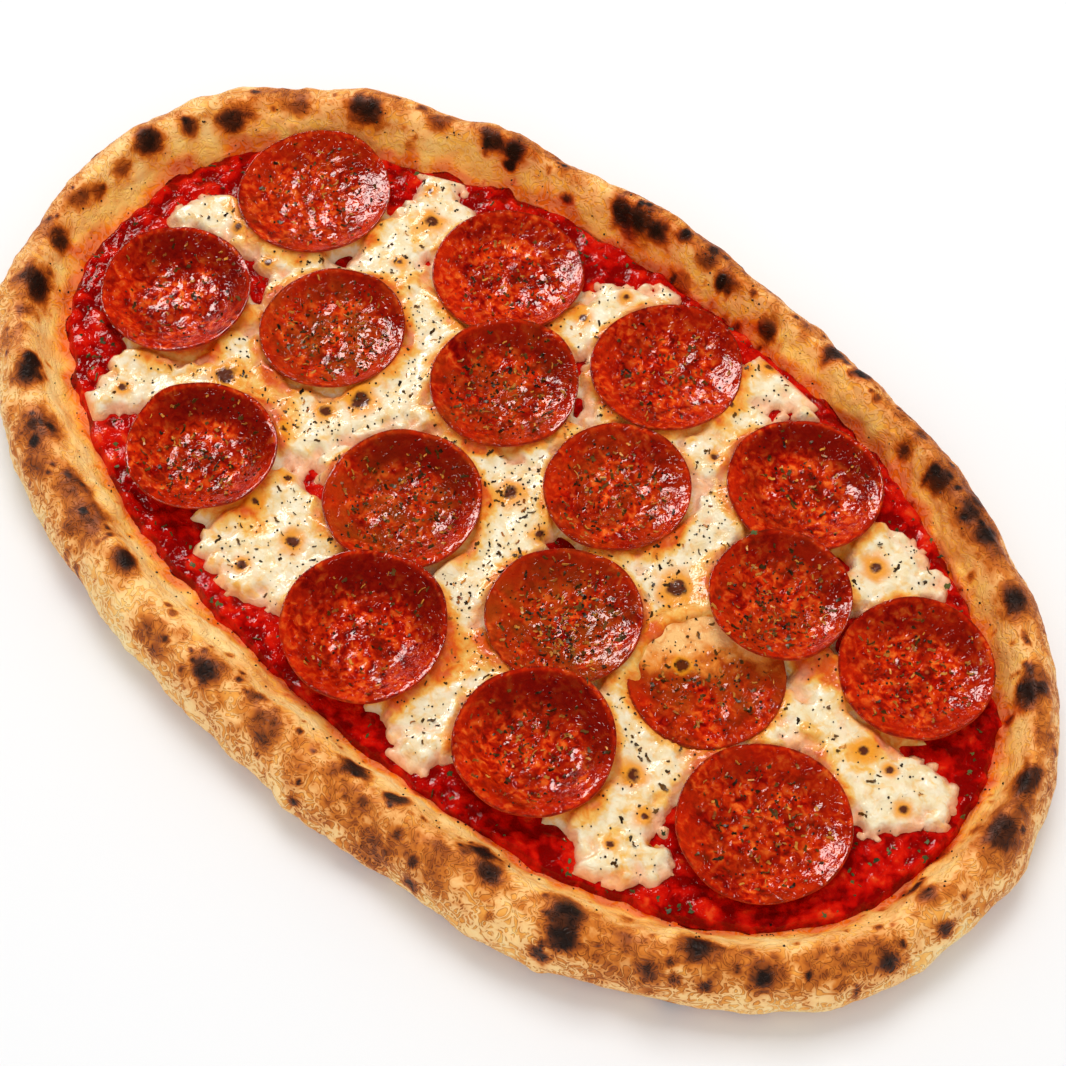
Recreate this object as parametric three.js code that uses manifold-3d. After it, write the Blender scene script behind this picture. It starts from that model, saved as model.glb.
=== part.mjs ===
// A whole oval pepperoni flatbread pizza: a baked crust with a puffed rim, tomato sauce, melted
// cheese and curled pepperoni slices. Millimetres, +Z up, lying flat on z = 0 with the oval's
// centre on the Z axis and its long axis along X. Touching pieces keep a small gap.
import * as THREE from "three";
import { mergeVertices } from "three/addons/utils/BufferGeometryUtils.js";
import Module from "manifold-3d";

const wasm = await Module();
wasm.setup();

// ---- Driving sizes ----
const HALF_LENGTH = 151.8;
const HALF_WIDTH = 91.3;
const SQUARENESS = 2.25; // exponent of the oval: 2 is an ellipse, more is fuller at the corners
const SKEW = 0.013; // how far the oval leans towards one diagonal, as a share of its radius

const FLOOR = 8; // thickness of the dough under the toppings
const EQUATOR = 8; // height at which the rim stands out furthest
const FOOT_INSET = 6; // how far in from the edge the flat underside starts
const CREST = 20; // mean height of the rim
const CREST_SHARE = 0.45; // where the crest lies, as a share of the rim's width
const RIM_WIDTH = 17.6;
const RIM_WIDTH_SWING = 4.2; // the rim is wider by this at -Y and narrower by this at +Y
const WIDE_SPOT = { angle: 149, extra: 3, spread: 15 }; // degrees, mm, degrees
const CREST_SWING = { angle: 140, rise: 1.3 }; // the rim is highest on this side

const GAP = 0.35; // clearance between touching pieces
const SAUCE_TOP = 10;
const CHEESE_THICKNESS = 3;
const CHEESE_EDGE = 0.9; // height of the cheese at its edge
const SLICE_THICKNESS = 1.8;
const SLICE_LIP = 1.2; // thickness at a slice's rim
const CUP_POWER = 4; // how suddenly a slice turns up at its rim
const LEAN = 1.5; // how far a slice is tipped up on the side where it lies on another

// ---- How finely each piece is faceted ----
const CRUST_SIDES = 120;
const SLICE_SIDES = 16;
const CHEESE_CELL = 5.8;

// Slow swells of the baked dough: distance between crests, direction in degrees, height.
const SWELLS = [
  { length: 67, turn: 25, height: 0.7 },
  { length: 41, turn: 100, height: 0.6 },
  { length: 29, turn: 150, height: 0.5 },
  { length: 19, turn: 60, height: 0.4 },
];

// Blisters that stand out of the rim: x, y, radius, height.
const BLISTERS = [
  [-142, 8, 7, 1.8], [-129, -42, 8, 2.2], [-110, -59, 6, 2], [-131, 29, 6, 1.5],
  [-134, -28, 6, 1.4], [-111, 57, 7, 1.7], [-73, 74, 7, 1.8], [-33, 82, 10, 2.4],
  [18, 80, 6, 1.4], [72, 77, 7, 1.7], [88, 74, 8, 1.8], [109, 63, 7, 1.7],
  [127, 47, 7, 1.8], [141, 30, 7, 1.7], [143, 14, 7, 1.5], [140, -6, 6, 1.5],
  [144, -26, 6, 2], [121, -54, 5, 1.5], [112, -50, 7, 2], [108, -62, 7, 1.4],
  [90, -70, 9, 2.4], [69, -70, 9, 2.4], [42, -75, 6, 1.5], [29, -76, 6, 1.8],
  [-50, -78, 7, 2.1], [-92, -68, 7, 1.4], [-12, -82, 8, 1.5], [13, -82, 8, 1.5],
];

// Pepperoni: x, y, radius, height of its underside, height of its curled rim.
const SLICES = [
  [-101.4, 29.5, 20.0, 11.8, 3.6],
  [-101.9, -17.4, 19.2, 11.8, 5.2],
  [-65.3, 3.1, 18.3, 11.8, 3.8],
  [-46.9, 47.6, 19.4, 11.5, 3.4],
  [-21.9, 22.0, 18.6, 12.2, 4.2],
  [2.8, 54.9, 19.0, 11.8, 3.6],
  [-60.5, -44.3, 18.4, 11.6, 6.0],
  [-15.2, -19.4, 19.4, 11.6, 5.0],
  [18.8, 20.5, 18.0, 12.0, 3.6],
  [50.9, 53.0, 18.8, 11.5, 5.0],
  [4.5, -50.1, 19.7, 12.0, 6.0],
  [35.1, -14.3, 18.5, 12.0, 3.8],
  [67.9, 25.3, 17.0, 13.2, 4.0],
  [102.5, 34.4, 18.3, 11.8, 4.0],
  [68.9, -1.0, 18.3, 11.0, 1.8],
  [53.8, -42.7, 18.6, 12.2, 5.6],
  [103.5, -19.3, 19.6, 11.8, 3.4],
].map(([x, y, radius, rest, cup], index) => ({ x, y, radius, rest, cup, index }));

// Which slice lies over which, counted from 1 in the list above.
const LAPS = [[5, 4], [11, 8], [16, 12], [13, 10], [13, 15], [12, 15]];
const COVERS = LAPS.map(([upper, lower]) => [SLICES[upper - 1], SLICES[lower - 1]]);

// Pools of melted cheese, which run together: x, y, radius.
const POOLS = [
  // left end, between the first two slices
  [-117, 8, 7.5], [-122, 2, 4], [-105, 8, 5.5], [-95, 9, 5], [-86, 13, 6], [-84, 3, 5],
  // upper left
  [-74, 46, 9.5], [-75, 34, 9], [-72, 24, 7], [-82, 56, 6], [-64, 28, 6], [-70, 52, 5], [-87, 59, 3],
  // left of the middle
  [-54, 24, 7], [-44, 22, 7], [-44, 8, 8], [-42, -6, 8], [-46, -16, 7], [-38, 0, 6], [-40, 16, 6],
  [-78, -18, 7], [-66, -21, 7], [-54, -19, 7], [-84, -8, 4], [-48, -24, 6], [-70, -26, 6], [-36, -22, 5],
  // lower left
  [-91, -38, 5], [-84, -36, 6], [-96, -40, 4], [-91, -46, 5], [-92, -52, 4.5], [-86, -42, 5], [-78, -28, 6],
  // low, left of the middle
  [-34, -42, 10], [-26, -50, 10], [-39, -53, 6], [-41, -60, 3.5], [-28, -60, 5], [-18, -56, 5],
  [-20, -40, 6], [-40, -38, 6], [-34, -58, 4],
  // middle
  [2, 2, 10], [8, -4, 9], [12, -14, 8], [10, -24, 7], [14, -32, 7], [-4, 0, 6], [22, -36, 7],
  [-20, 2, 5], [-28, 4, 4], [-12, 4, 5], [-3, 14, 5], [-2, 24, 4], [-8, 42, 5], [1, 35, 5],
  // low, right of the middle
  [27, -44, 8], [29, -53, 6.5], [25, -57, 4], [33, -62, 4], [37, -57, 3.5], [33, -36, 6], [34, -68, 2.5],
  // right of the middle
  [57, -8, 8], [59, -18, 7], [66, -24, 6], [55, 4, 8], [58, 10, 6], [49, 10, 8], [43, 16, 9],
  [43, 26, 7], [39, 36, 6], [46, 32, 4], [34, 6, 5], [28, 4, 4], [40, 2, 4],
  // upper middle
  [-21, 54, 7], [-23, 46, 7], [-25, 62, 5], [-19, 66, 5], [-14, 73, 4], [22, 70, 7], [25, 57, 8],
  [27, 44, 7], [20, 76, 4.5], [29, 76, 3.5], [35, 71, 3], [15, 41, 5],
  // upper right
  [77, 52, 8], [85, 49, 7], [72, 56, 4.5], [89, 57, 3.5], [79, 42, 5], [80, 60, 2],
  // right end
  [106, 9, 8], [95, 9, 7], [118, 10, 8], [124, 15, 5.5], [87, 8, 4], [120, 3, 6], [112, 4, 6],
  [129, 12, 3], [86, 20, 6], [92, 17, 4],
  // lower right
  [76, -27, 8], [79, -38, 8], [85, -47, 6.5], [75, -47, 5], [91, -43, 4.5], [83, -55, 3.5],
  [88, -1, 5], [83, -15, 6], [73, -17, 5],
];
const POOL_BLEND = 2; // how softly two pools run together
const CHEESE_UNDER_SLICE = 4; // how much smaller the cheese under a slice is than the slice

// ---- Small helpers ----
const radians = THREE.MathUtils.degToRad;

// Numbers from 0 to 1 that are the same on every run.
function seeded(seed) {
  let state = seed;
  return () => {
    state = (state * 1664525 + 1013904223) >>> 0;
    return state / 4294967296;
  };
}

function sum(items, term) {
  return items.reduce((total, item) => total + term(item), 0);
}

// A geometry of bare triangles, given as groups of three points.
function geometryOf(triangles) {
  const geometry = new THREE.BufferGeometry();
  geometry.setAttribute("position", new THREE.Float32BufferAttribute(triangles.flat(2), 3));
  return mergeVertices(geometry, 1e-3);
}

// A closed skin over a stack of rings with equally many points, ending in a point at each end.
// The rings turn anticlockwise seen from above and run from the underside out and up to the top.
function loft(bottom, rings, top) {
  const triangles = [];
  const sides = rings[0].length;
  for (let i = 0; i < sides; i++) {
    const next = (i + 1) % sides;
    triangles.push([bottom, rings[0][next], rings[0][i]]);
    for (let k = 0; k + 1 < rings.length; k++) {
      const [low, high] = [rings[k], rings[k + 1]];
      triangles.push([low[i], low[next], high[next]], [low[i], high[next], high[i]]);
    }
    const last = rings[rings.length - 1];
    triangles.push([top, last[i], last[next]]);
  }
  return geometryOf(triangles);
}

function solidOf(source) {
  const bare = source.clone();
  bare.deleteAttribute("normal");
  bare.deleteAttribute("uv");
  const merged = mergeVertices(bare, 1e-3);
  const mesh = new wasm.Mesh({
    numProp: 3,
    vertProperties: merged.attributes.position.array,
    triVerts: new Uint32Array(merged.index.array),
  });
  return new wasm.Manifold(mesh);
}

function geometryOfSolid(solid) {
  const mesh = solid.getMesh();
  const geometry = new THREE.BufferGeometry();
  geometry.setAttribute("position", new THREE.BufferAttribute(mesh.vertProperties, 3));
  geometry.setIndex(new THREE.BufferAttribute(mesh.triVerts, 1));
  return geometry;
}

// The largest body of a solid, without any loose scrap.
function largestBody(solid) {
  return solid.decompose().reduce((best, body) => (body.volume() > best.volume() ? body : best));
}

// ---- The oval ----
function outlinePoint(angle) {
  const [c, s] = [Math.cos(angle), Math.sin(angle)];
  const across = (Math.abs(c) / HALF_LENGTH) ** SQUARENESS + (Math.abs(s) / HALF_WIDTH) ** SQUARENESS;
  const radius = across ** (-1 / SQUARENESS) * (1 + SKEW * Math.sin(2 * angle));
  return new THREE.Vector2(radius * c, radius * s);
}

function outlineNormal(angle) {
  const step = 1e-3;
  const along = outlinePoint(angle + step).sub(outlinePoint(angle - step)).normalize();
  return new THREE.Vector2(along.y, -along.x);
}

// The point a given distance in from the oval's edge.
function insetPoint(angle, inset) {
  return outlinePoint(angle).addScaledVector(outlineNormal(angle), -inset);
}

function rimWidth(angle) {
  const off = THREE.MathUtils.euclideanModulo(
    THREE.MathUtils.radToDeg(angle) - WIDE_SPOT.angle + 180, 360) - 180;
  const wide = WIDE_SPOT.extra * Math.exp(-((off / WIDE_SPOT.spread) ** 2));
  return RIM_WIDTH - RIM_WIDTH_SWING * Math.sin(angle) + wide;
}

function swell(x, y) {
  return sum(SWELLS, ({ length, turn, height }) => {
    const along = x * Math.cos(radians(turn)) + y * Math.sin(radians(turn));
    return height * Math.sin((2 * Math.PI * along) / length);
  });
}

function blister(x, y) {
  return sum(BLISTERS, ([bx, by, radius, height]) =>
    height * Math.exp(-((x - bx) ** 2 + (y - by) ** 2) / radius ** 2));
}

function crestHeight(angle) {
  const at = insetPoint(angle, CREST_SHARE * rimWidth(angle));
  return CREST + CREST_SWING.rise * Math.cos(angle - radians(CREST_SWING.angle)) + swell(at.x, at.y);
}

// ---- Crust ----
// A ring of the crust's skin: how far in it lies and how high it is, both by angle.
function crustRing(insetAt, heightAt) {
  return Array.from({ length: CRUST_SIDES }, (_, i) => {
    const angle = (2 * Math.PI * i) / CRUST_SIDES;
    const at = insetPoint(angle, insetAt(angle));
    return [at.x, at.y, heightAt(angle, at)];
  });
}

function underRing(turn) {
  const inset = FOOT_INSET * (1 - Math.cos(turn));
  return crustRing(() => inset, () => EQUATOR * (1 - Math.sin(turn)));
}

function outerRing(turn) {
  return crustRing(
    (angle) => CREST_SHARE * rimWidth(angle) * (1 - Math.cos(turn)),
    (angle, at) => EQUATOR + (crestHeight(angle) - EQUATOR) * Math.sin(turn) + blister(at.x, at.y) * Math.sin(turn),
  );
}

// The slope from the crest down to the toppings; share runs from 0 at the crest to 1 at the foot.
function innerRing(share) {
  const drop = (1 + Math.cos(Math.PI * share)) / 2;
  return crustRing(
    (angle) => rimWidth(angle) * (CREST_SHARE + (1 - CREST_SHARE) * share),
    (angle, at) => FLOOR + (crestHeight(angle) - FLOOR + blister(at.x, at.y)) * drop,
  );
}

function crustGeometry() {
  const rings = [
    ...[90, 62, 30, 0].map((turn) => underRing(radians(turn))),
    ...[25, 48, 70, 90].map((turn) => outerRing(radians(turn))),
    ...[0.25, 0.5, 0.75, 1].map(innerRing),
  ];
  return loft([0, 0, 0], rings, [0, 0, FLOOR]);
}

// ---- Sauce ----
const SAUCE_EDGE = 0.5; // gap between the sauce and the foot of the rim
const PULP = { length: 5.3, height: 0.7 }; // lumps of tomato along the sauce's edge

function pulp(x, y) {
  const wave = (2 * Math.PI) / PULP.length;
  return PULP.height * Math.sin(wave * x + Math.sin(y)) * Math.cos(wave * y);
}

function sauceGeometry() {
  const bottom = FLOOR + GAP;
  const ring = (inset, heightAt) => crustRing((angle) => rimWidth(angle) + inset, heightAt);
  const rings = [
    ring(SAUCE_EDGE, () => bottom),
    ring(SAUCE_EDGE, () => SAUCE_TOP - 0.8),
    ring(SAUCE_EDGE + 1.8, (_, at) => SAUCE_TOP - 0.5 + pulp(at.x, at.y) / 2),
    ring(SAUCE_EDGE + 5, () => SAUCE_TOP),
  ];
  return loft([0, 0, bottom], rings, [0, 0, SAUCE_TOP]);
}

// ---- Pepperoni ----
function sliceLean(slice, x, y) {
  return sum(COVERS.filter(([upper]) => upper === slice), ([, lower]) => {
    const away = new THREE.Vector2(lower.x - slice.x, lower.y - slice.y).normalize();
    const towards = ((x - slice.x) * away.x + (y - slice.y) * away.y) / slice.radius;
    return LEAN * Math.max(0, towards);
  });
}

// Height of a slice's underside. A slice that lies under another is pressed flat beneath it.
function underside(slice, x, y) {
  const share = Math.hypot(x - slice.x, y - slice.y) / slice.radius;
  let z = slice.rest + sliceLean(slice, x, y) + slice.cup * Math.min(share, 1) ** CUP_POWER;
  for (const [upper] of COVERS.filter(([, lower]) => lower === slice)) {
    const over = Math.hypot(x - upper.x, y - upper.y) / upper.radius;
    if (over < 1.25) z = Math.min(z, underside(upper, x, y) - SLICE_THICKNESS - GAP);
  }
  return z;
}

function sliceRing(slice, share, heightAt) {
  return Array.from({ length: SLICE_SIDES }, (_, i) => {
    const angle = (2 * Math.PI * i) / SLICE_SIDES;
    const radius = slice.radius * share;
    const [x, y] = [slice.x + radius * Math.cos(angle), slice.y + radius * Math.sin(angle)];
    return [x, y, heightAt(x, y)];
  });
}

function sliceThickness(share) {
  return SLICE_THICKNESS + (SLICE_LIP - SLICE_THICKNESS) * share ** 4;
}

function sliceGeometry(slice) {
  const under = (x, y) => underside(slice, x, y);
  const over = (share) => (x, y) => under(x, y) + sliceThickness(share);
  const rings = [
    ...[0.55, 0.88, 1].map((share) => sliceRing(slice, share, under)),
    ...[1, 0.88, 0.62].map((share) => sliceRing(slice, share, over(share))),
  ];
  const middle = under(slice.x, slice.y);
  return loft([slice.x, slice.y, middle], rings, [slice.x, slice.y, middle + SLICE_THICKNESS]);
}

// ---- Cheese ----
const CHEESE_PARTS = [
  ...POOLS,
  ...SLICES.map(({ x, y, radius }) => [x, y, radius - CHEESE_UNDER_SLICE]),
];

// How far inside the cheese's edge a point lies, less than 0 outside it.
function insideCheese(x, y) {
  const total = sum(CHEESE_PARTS, ([px, py, radius]) =>
    Math.exp((radius - Math.hypot(x - px, y - py)) / POOL_BLEND));
  return POOL_BLEND * Math.log(total + 1e-12);
}

// The highest that the cheese may reach under and beside a slice. The cheese is faceted, so the
// slice is also read one cell further in.
function ceilingUnder(slice, x, y) {
  const distance = Math.hypot(x - slice.x, y - slice.y);
  if (distance > slice.radius + CHEESE_CELL) return Infinity;
  const inward = Math.max(0, distance - CHEESE_CELL) / Math.max(distance, 1e-6);
  const further = underside(slice, slice.x + (x - slice.x) * inward, slice.y + (y - slice.y) * inward);
  return Math.min(underside(slice, x, y), further) - GAP;
}

function cheeseTop(x, y) {
  const rise = THREE.MathUtils.smoothstep(insideCheese(x, y), 0, 4.5);
  const bulk = CHEESE_THICKNESS - CHEESE_EDGE + 0.4 * swell(2.3 * x, 2.3 * y);
  const free = SAUCE_TOP + GAP + CHEESE_EDGE + bulk * rise;
  return Math.min(free, ...SLICES.map((slice) => ceilingUnder(slice, x, y)));
}

// The part of a triangle that lies inside the cheese, with its corners in order. Corners that
// the edge of the cheese makes carry edge: true.
function clipToCheese(corners) {
  const kept = [];
  corners.forEach((from, i) => {
    const to = corners[(i + 1) % corners.length];
    if (from.inside > 0) kept.push({ x: from.x, y: from.y });
    if (from.inside > 0 !== to.inside > 0) {
      const [a, b] = from.inside > 0 ? [from, to] : [to, from];
      const share = THREE.MathUtils.clamp(a.inside / (a.inside - b.inside), 0.15, 0.85);
      kept.push({ x: a.x + (b.x - a.x) * share, y: a.y + (b.y - a.y) * share, edge: true });
    }
  });
  return kept;
}

// The cheese seen from above, as clipped triangles of a grid.
function cheeseCells() {
  const columns = Math.ceil((2 * HALF_LENGTH) / CHEESE_CELL);
  const rows = Math.ceil((2 * HALF_WIDTH) / CHEESE_CELL);
  const corner = (i, j) => {
    const x = (i - columns / 2 + (j % 2) / 2) * CHEESE_CELL;
    const y = (j - rows / 2) * CHEESE_CELL;
    return { x, y, inside: insideCheese(x, y) };
  };
  const cells = [];
  for (let j = 0; j < rows; j++) {
    for (let i = 0; i < columns; i++) {
      const [a, b, c, d] = [corner(i, j), corner(i + 1, j), corner(i, j + 1), corner(i + 1, j + 1)];
      const halves = j % 2 ? [[a, b, d], [a, d, c]] : [[a, b, c], [b, d, c]];
      cells.push(...halves.map(clipToCheese).filter((kept) => kept.length));
    }
  }
  return cells;
}

// The edges of the cheese, joined into closed loops: the outer one turns anticlockwise and those
// round holes turn clockwise.
function cheeseLoops(cells) {
  const key = ({ x, y }) => x.toFixed(3) + " " + y.toFixed(3);
  const following = new Map();
  for (const kept of cells) {
    kept.forEach((corner, i) => {
      const next = kept[(i + 1) % kept.length];
      if (corner.edge && next.edge) following.set(key(corner), next);
    });
  }
  const loops = [];
  while (following.size) {
    const loop = [];
    let at = following.keys().next().value;
    while (following.has(at)) {
      const next = following.get(at);
      following.delete(at);
      loop.push(new THREE.Vector2(next.x, next.y));
      at = key(next);
    }
    loops.push(loop);
  }
  return loops;
}

function cheeseSheet() {
  const bottom = SAUCE_TOP + GAP;
  const rim = bottom + CHEESE_EDGE;
  const cells = cheeseCells();
  const loops = cheeseLoops(cells);
  const outer = loops.filter((loop) => !THREE.ShapeUtils.isClockWise(loop));
  const holes = loops.filter((loop) => THREE.ShapeUtils.isClockWise(loop));
  const faces = [];
  for (const kept of cells) {
    const high = kept.map(({ x, y, edge }) => [x, y, edge ? rim : cheeseTop(x, y)]);
    for (let i = 1; i + 1 < kept.length; i++) faces.push([high[0], high[i], high[i + 1]]);
  }
  for (const loop of loops) {
    loop.forEach((from, i) => {
      const to = loop[(i + 1) % loop.length];
      const [a, b] = [[from.x, from.y, bottom], [to.x, to.y, bottom]];
      const [c, d] = [[to.x, to.y, rim], [from.x, from.y, rim]];
      faces.push([a, b, c], [a, c, d]);
    });
  }
  const points = [outer[0], ...holes].flat().map(({ x, y }) => [x, y, bottom]);
  for (const [a, b, c] of THREE.ShapeUtils.triangulateShape(outer[0], holes)) {
    faces.push([points[c], points[b], points[a]]);
  }
  return geometryOf(faces);
}

// The room inside the rim, from the floor up.
function dishRoom() {
  const wall = (z) => crustRing((angle) => rimWidth(angle) + SAUCE_EDGE, () => z);
  const ceiling = CREST + 10;
  return solidOf(loft([0, 0, 0], [wall(0), wall(ceiling)], [0, 0, ceiling]));
}

function cheeseSolid() {
  return largestBody(solidOf(cheeseSheet()).intersect(dishRoom()));
}

// ---- Dried herb ----
const FLAKE = { length: 2.6, width: 1.3, height: 1.1 };
const FLAKES_A_SLICE = 4;
const FLAKES_ON_CHEESE = 40;

// One small chip of herb, lying askew with its lower half sunk in what carries it.
function flakeSolid(x, y, z, random) {
  const size = 0.75 + 0.5 * random();
  const chip = new THREE.BoxGeometry(FLAKE.length * size, FLAKE.width * size, FLAKE.height);
  chip.rotateX(0.5 * (random() - 0.5));
  chip.rotateZ(2 * Math.PI * random());
  chip.translate(x, y, z);
  return solidOf(chip);
}

function withFlakes(solid, places, heightAt, random) {
  return places.reduce(
    (made, [x, y]) => made.add(flakeSolid(x, y, heightAt(x, y), random)), solid);
}

function slicePlaces(slice, random) {
  return Array.from({ length: FLAKES_A_SLICE }, (_, i) => {
    const angle = (2 * Math.PI * (i + 0.7 * random())) / FLAKES_A_SLICE;
    const reach = slice.radius * (0.25 + 0.3 * random());
    return [slice.x + reach * Math.cos(angle), slice.y + reach * Math.sin(angle)];
  });
}

function cheesePlaces(random) {
  const places = [];
  const clear = ([x, y]) =>
    insideCheese(x, y) > 4.5 &&
    SLICES.every((slice) => Math.hypot(x - slice.x, y - slice.y) > slice.radius + 4) &&
    places.every(([px, py]) => Math.hypot(x - px, y - py) > 7);
  for (let tries = 0; tries < 20000 && places.length < FLAKES_ON_CHEESE; tries++) {
    const at = [HALF_LENGTH * (2 * random() - 1), HALF_WIDTH * (2 * random() - 1)];
    if (clear(at)) places.push(at);
  }
  return places;
}

// ---- The pizza ----
function finish(color, roughness) {
  return new THREE.MeshStandardMaterial({ color, roughness, metalness: 0 });
}

function named(name, geometry, material) {
  const mesh = new THREE.Mesh(geometry, material);
  mesh.name = name;
  geometry.computeVertexNormals();
  return mesh;
}

function pepperoniMesh(slice) {
  const random = seeded(101 + slice.index);
  const top = (x, y) => underside(slice, x, y) + SLICE_THICKNESS;
  const solid = withFlakes(solidOf(sliceGeometry(slice)), slicePlaces(slice, random), top, random);
  const name = "pepperoni_" + String(slice.index + 1).padStart(2, "0");
  return named(name, geometryOfSolid(solid), finish(0xa81f0c, 0.35));
}

function cheeseMesh() {
  const random = seeded(7);
  const solid = withFlakes(cheeseSolid(), cheesePlaces(random), cheeseTop, random);
  return named("cheese", geometryOfSolid(solid), finish(0xf2e0b4, 0.45));
}

const pizza = new THREE.Group();
pizza.add(named("crust", crustGeometry(), finish(0xd99a52, 0.85)));
pizza.add(named("sauce", sauceGeometry(), finish(0xb3200e, 0.3)));
pizza.add(cheeseMesh());
SLICES.forEach((slice) => pizza.add(pepperoniMesh(slice)));

export default pizza;
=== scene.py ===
"""A whole oval pepperoni flatbread pizza: the baked crust, tomato sauce, melted cheese, curled
pepperoni and dried herbs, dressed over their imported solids. Sizes in this file are millimetres
until a mesh is finished, when it goes to metres."""
import math

import bmesh
import bpy
import numpy as np
from mathutils import Matrix, Vector, noise
from mathutils.bvhtree import BVHTree


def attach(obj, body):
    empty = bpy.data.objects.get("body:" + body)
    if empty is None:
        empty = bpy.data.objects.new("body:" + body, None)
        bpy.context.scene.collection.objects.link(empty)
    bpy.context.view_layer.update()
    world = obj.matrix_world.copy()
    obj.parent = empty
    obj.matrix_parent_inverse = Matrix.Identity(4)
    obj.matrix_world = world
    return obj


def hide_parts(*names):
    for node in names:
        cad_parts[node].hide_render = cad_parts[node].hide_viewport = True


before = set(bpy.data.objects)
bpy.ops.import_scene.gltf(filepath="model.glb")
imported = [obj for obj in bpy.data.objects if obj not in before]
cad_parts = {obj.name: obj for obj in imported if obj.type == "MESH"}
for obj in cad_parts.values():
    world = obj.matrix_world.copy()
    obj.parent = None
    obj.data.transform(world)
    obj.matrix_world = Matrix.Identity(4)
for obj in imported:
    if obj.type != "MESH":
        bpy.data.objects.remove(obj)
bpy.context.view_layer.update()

# ---- Camera: it looks down on the pizza from its near right side ----
PHOTO_SIDE = 1066
CAMERA_PLACE = (213.6, -201.6, 496.0)
CAMERA_AIM = (12.4, -2.05, 13.0)
LENS = 77.98
SENSOR = 36.0

# Heading, round Z from +X, of the side where the cups' walls get the most painted shade and the rim
# is most golden.
FAR_SIDE = math.radians(110)

# ---- The oval and its rim ----
HALF_LENGTH = 151.8
HALF_WIDTH = 91.3
SQUARENESS = 2.25  # exponent of the oval: 2 is an ellipse, more is fuller at the corners
SKEW = 0.013  # how far the oval leans towards one diagonal, as a share of its radius
FLOOR = 8.0  # thickness of the dough under the toppings
EQUATOR = 8.0  # height at which the rim stands out furthest
FOOT_INSET = 6.0  # how far in from the edge the flat underside starts
CREST = 20.0  # mean height of the rim
CREST_SHARE = 0.45  # where the crest lies, as a share of the rim's width
RIM_WIDTH = 17.6
RIM_WIDTH_SWING = 4.2  # the rim is wider by this at -Y and narrower by this at +Y
WIDE_SPOT = {"angle": 149, "extra": 3.0, "spread": 15}  # degrees, mm, degrees
CREST_SWING = {"angle": 140, "rise": 1.3}  # the rim is highest on this side

# Slow swells of the dough: distance between crests, direction in degrees, height.
SWELLS = [(67, 25, 0.7), (41, 100, 0.6), (29, 150, 0.5), (19, 60, 0.4)]

# Blisters that stand out of the rim: x, y, radius, height.
BLISTERS = [
    (-142, 8, 7, 1.8), (-129, -42, 8, 2.2), (-110, -59, 6, 2), (-131, 29, 6, 1.5),
    (-134, -28, 6, 1.4), (-111, 57, 7, 1.7), (-73, 74, 7, 1.8), (-33, 82, 10, 2.4),
    (18, 80, 6, 1.4), (72, 77, 7, 1.7), (88, 74, 8, 1.8), (109, 63, 7, 1.7), (127, 47, 7, 1.8),
    (141, 30, 7, 1.7), (143, 14, 7, 1.5), (140, -6, 6, 1.5), (144, -26, 6, 2), (121, -54, 5, 1.5),
    (112, -50, 7, 2), (108, -62, 7, 1.4), (90, -70, 9, 2.4), (69, -70, 9, 2.4), (42, -75, 6, 1.5),
    (29, -76, 6, 1.8), (-50, -78, 7, 2.1), (-92, -68, 7, 1.4), (-12, -82, 8, 1.5),
    (13, -82, 8, 1.5),
]

# ---- Toppings ----
GAP = 0.35  # clearance between touching pieces
SAUCE_TOP = 10.0
CHEESE_EDGE = 0.9  # height of the cheese at its edge
CHEESE_BULK = 2.1  # how much higher it is further in
SLICE_THICKNESS = 1.8
SLICE_LIP = 0.75  # thickness at a slice's rim
SLICE_SINK = 1.1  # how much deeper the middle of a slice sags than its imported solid
LOWEST_SLICE = 10.3
WALL_FOOT = 0.42  # where the wall of a deep slice starts, as a share of its radius
WALL_TOP = 1.15  # where that wall would level out
LEAN = 1.5  # how far a slice is tipped up on the side where it lies on another

# Pepperoni: x, y, radius, height of its underside, height of its curled rim.
SLICES = [
    (-101.4, 29.5, 20.0, 11.8, 3.6),
    (-101.9, -17.4, 19.2, 11.8, 5.2),
    (-65.3, 3.1, 18.3, 11.8, 3.8),
    (-46.9, 47.6, 19.4, 11.5, 3.4),
    (-21.9, 22.0, 18.6, 12.2, 4.2),
    (2.8, 54.9, 19.0, 11.8, 3.6),
    (-60.5, -44.3, 18.4, 11.6, 6.0),
    (-15.2, -19.4, 19.4, 11.6, 5.0),
    (18.8, 20.5, 18.0, 12.0, 3.6),
    (50.9, 53.0, 18.8, 11.5, 5.0),
    (4.5, -50.1, 19.7, 12.0, 6.0),
    (35.1, -14.3, 18.5, 12.0, 3.8),
    (67.9, 25.3, 17.0, 13.2, 4.0),
    (102.5, 34.4, 18.3, 11.8, 4.0),
    (68.9, -1.0, 18.3, 11.0, 1.8),
    (53.8, -42.7, 18.6, 12.2, 5.6),
    (103.5, -19.3, 19.6, 11.8, 3.4),
]
LAPS = [(5, 4), (11, 8), (16, 12), (13, 10), (13, 15), (12, 15)]  # upper slice, lower slice, from 1
COVERS = [(upper - 1, lower - 1) for upper, lower in LAPS]

# How brown each slice is, and how many flakes of herb lie on it, in the same order.
SLICE_BROWN = [
    0.35, 0.1, 0.75, 0.1, 0.5, 0.15, 0.2, 0.75, 0.45, 0.15, 0.1, 0.9, 0.35, 0.15, 0.4, 0.15, 0.25,
]
SLICE_HERBS = [147, 126, 315, 126, 273, 126, 231, 315, 252, 126, 115, 399, 231, 178, 189, 199, 178]

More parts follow.
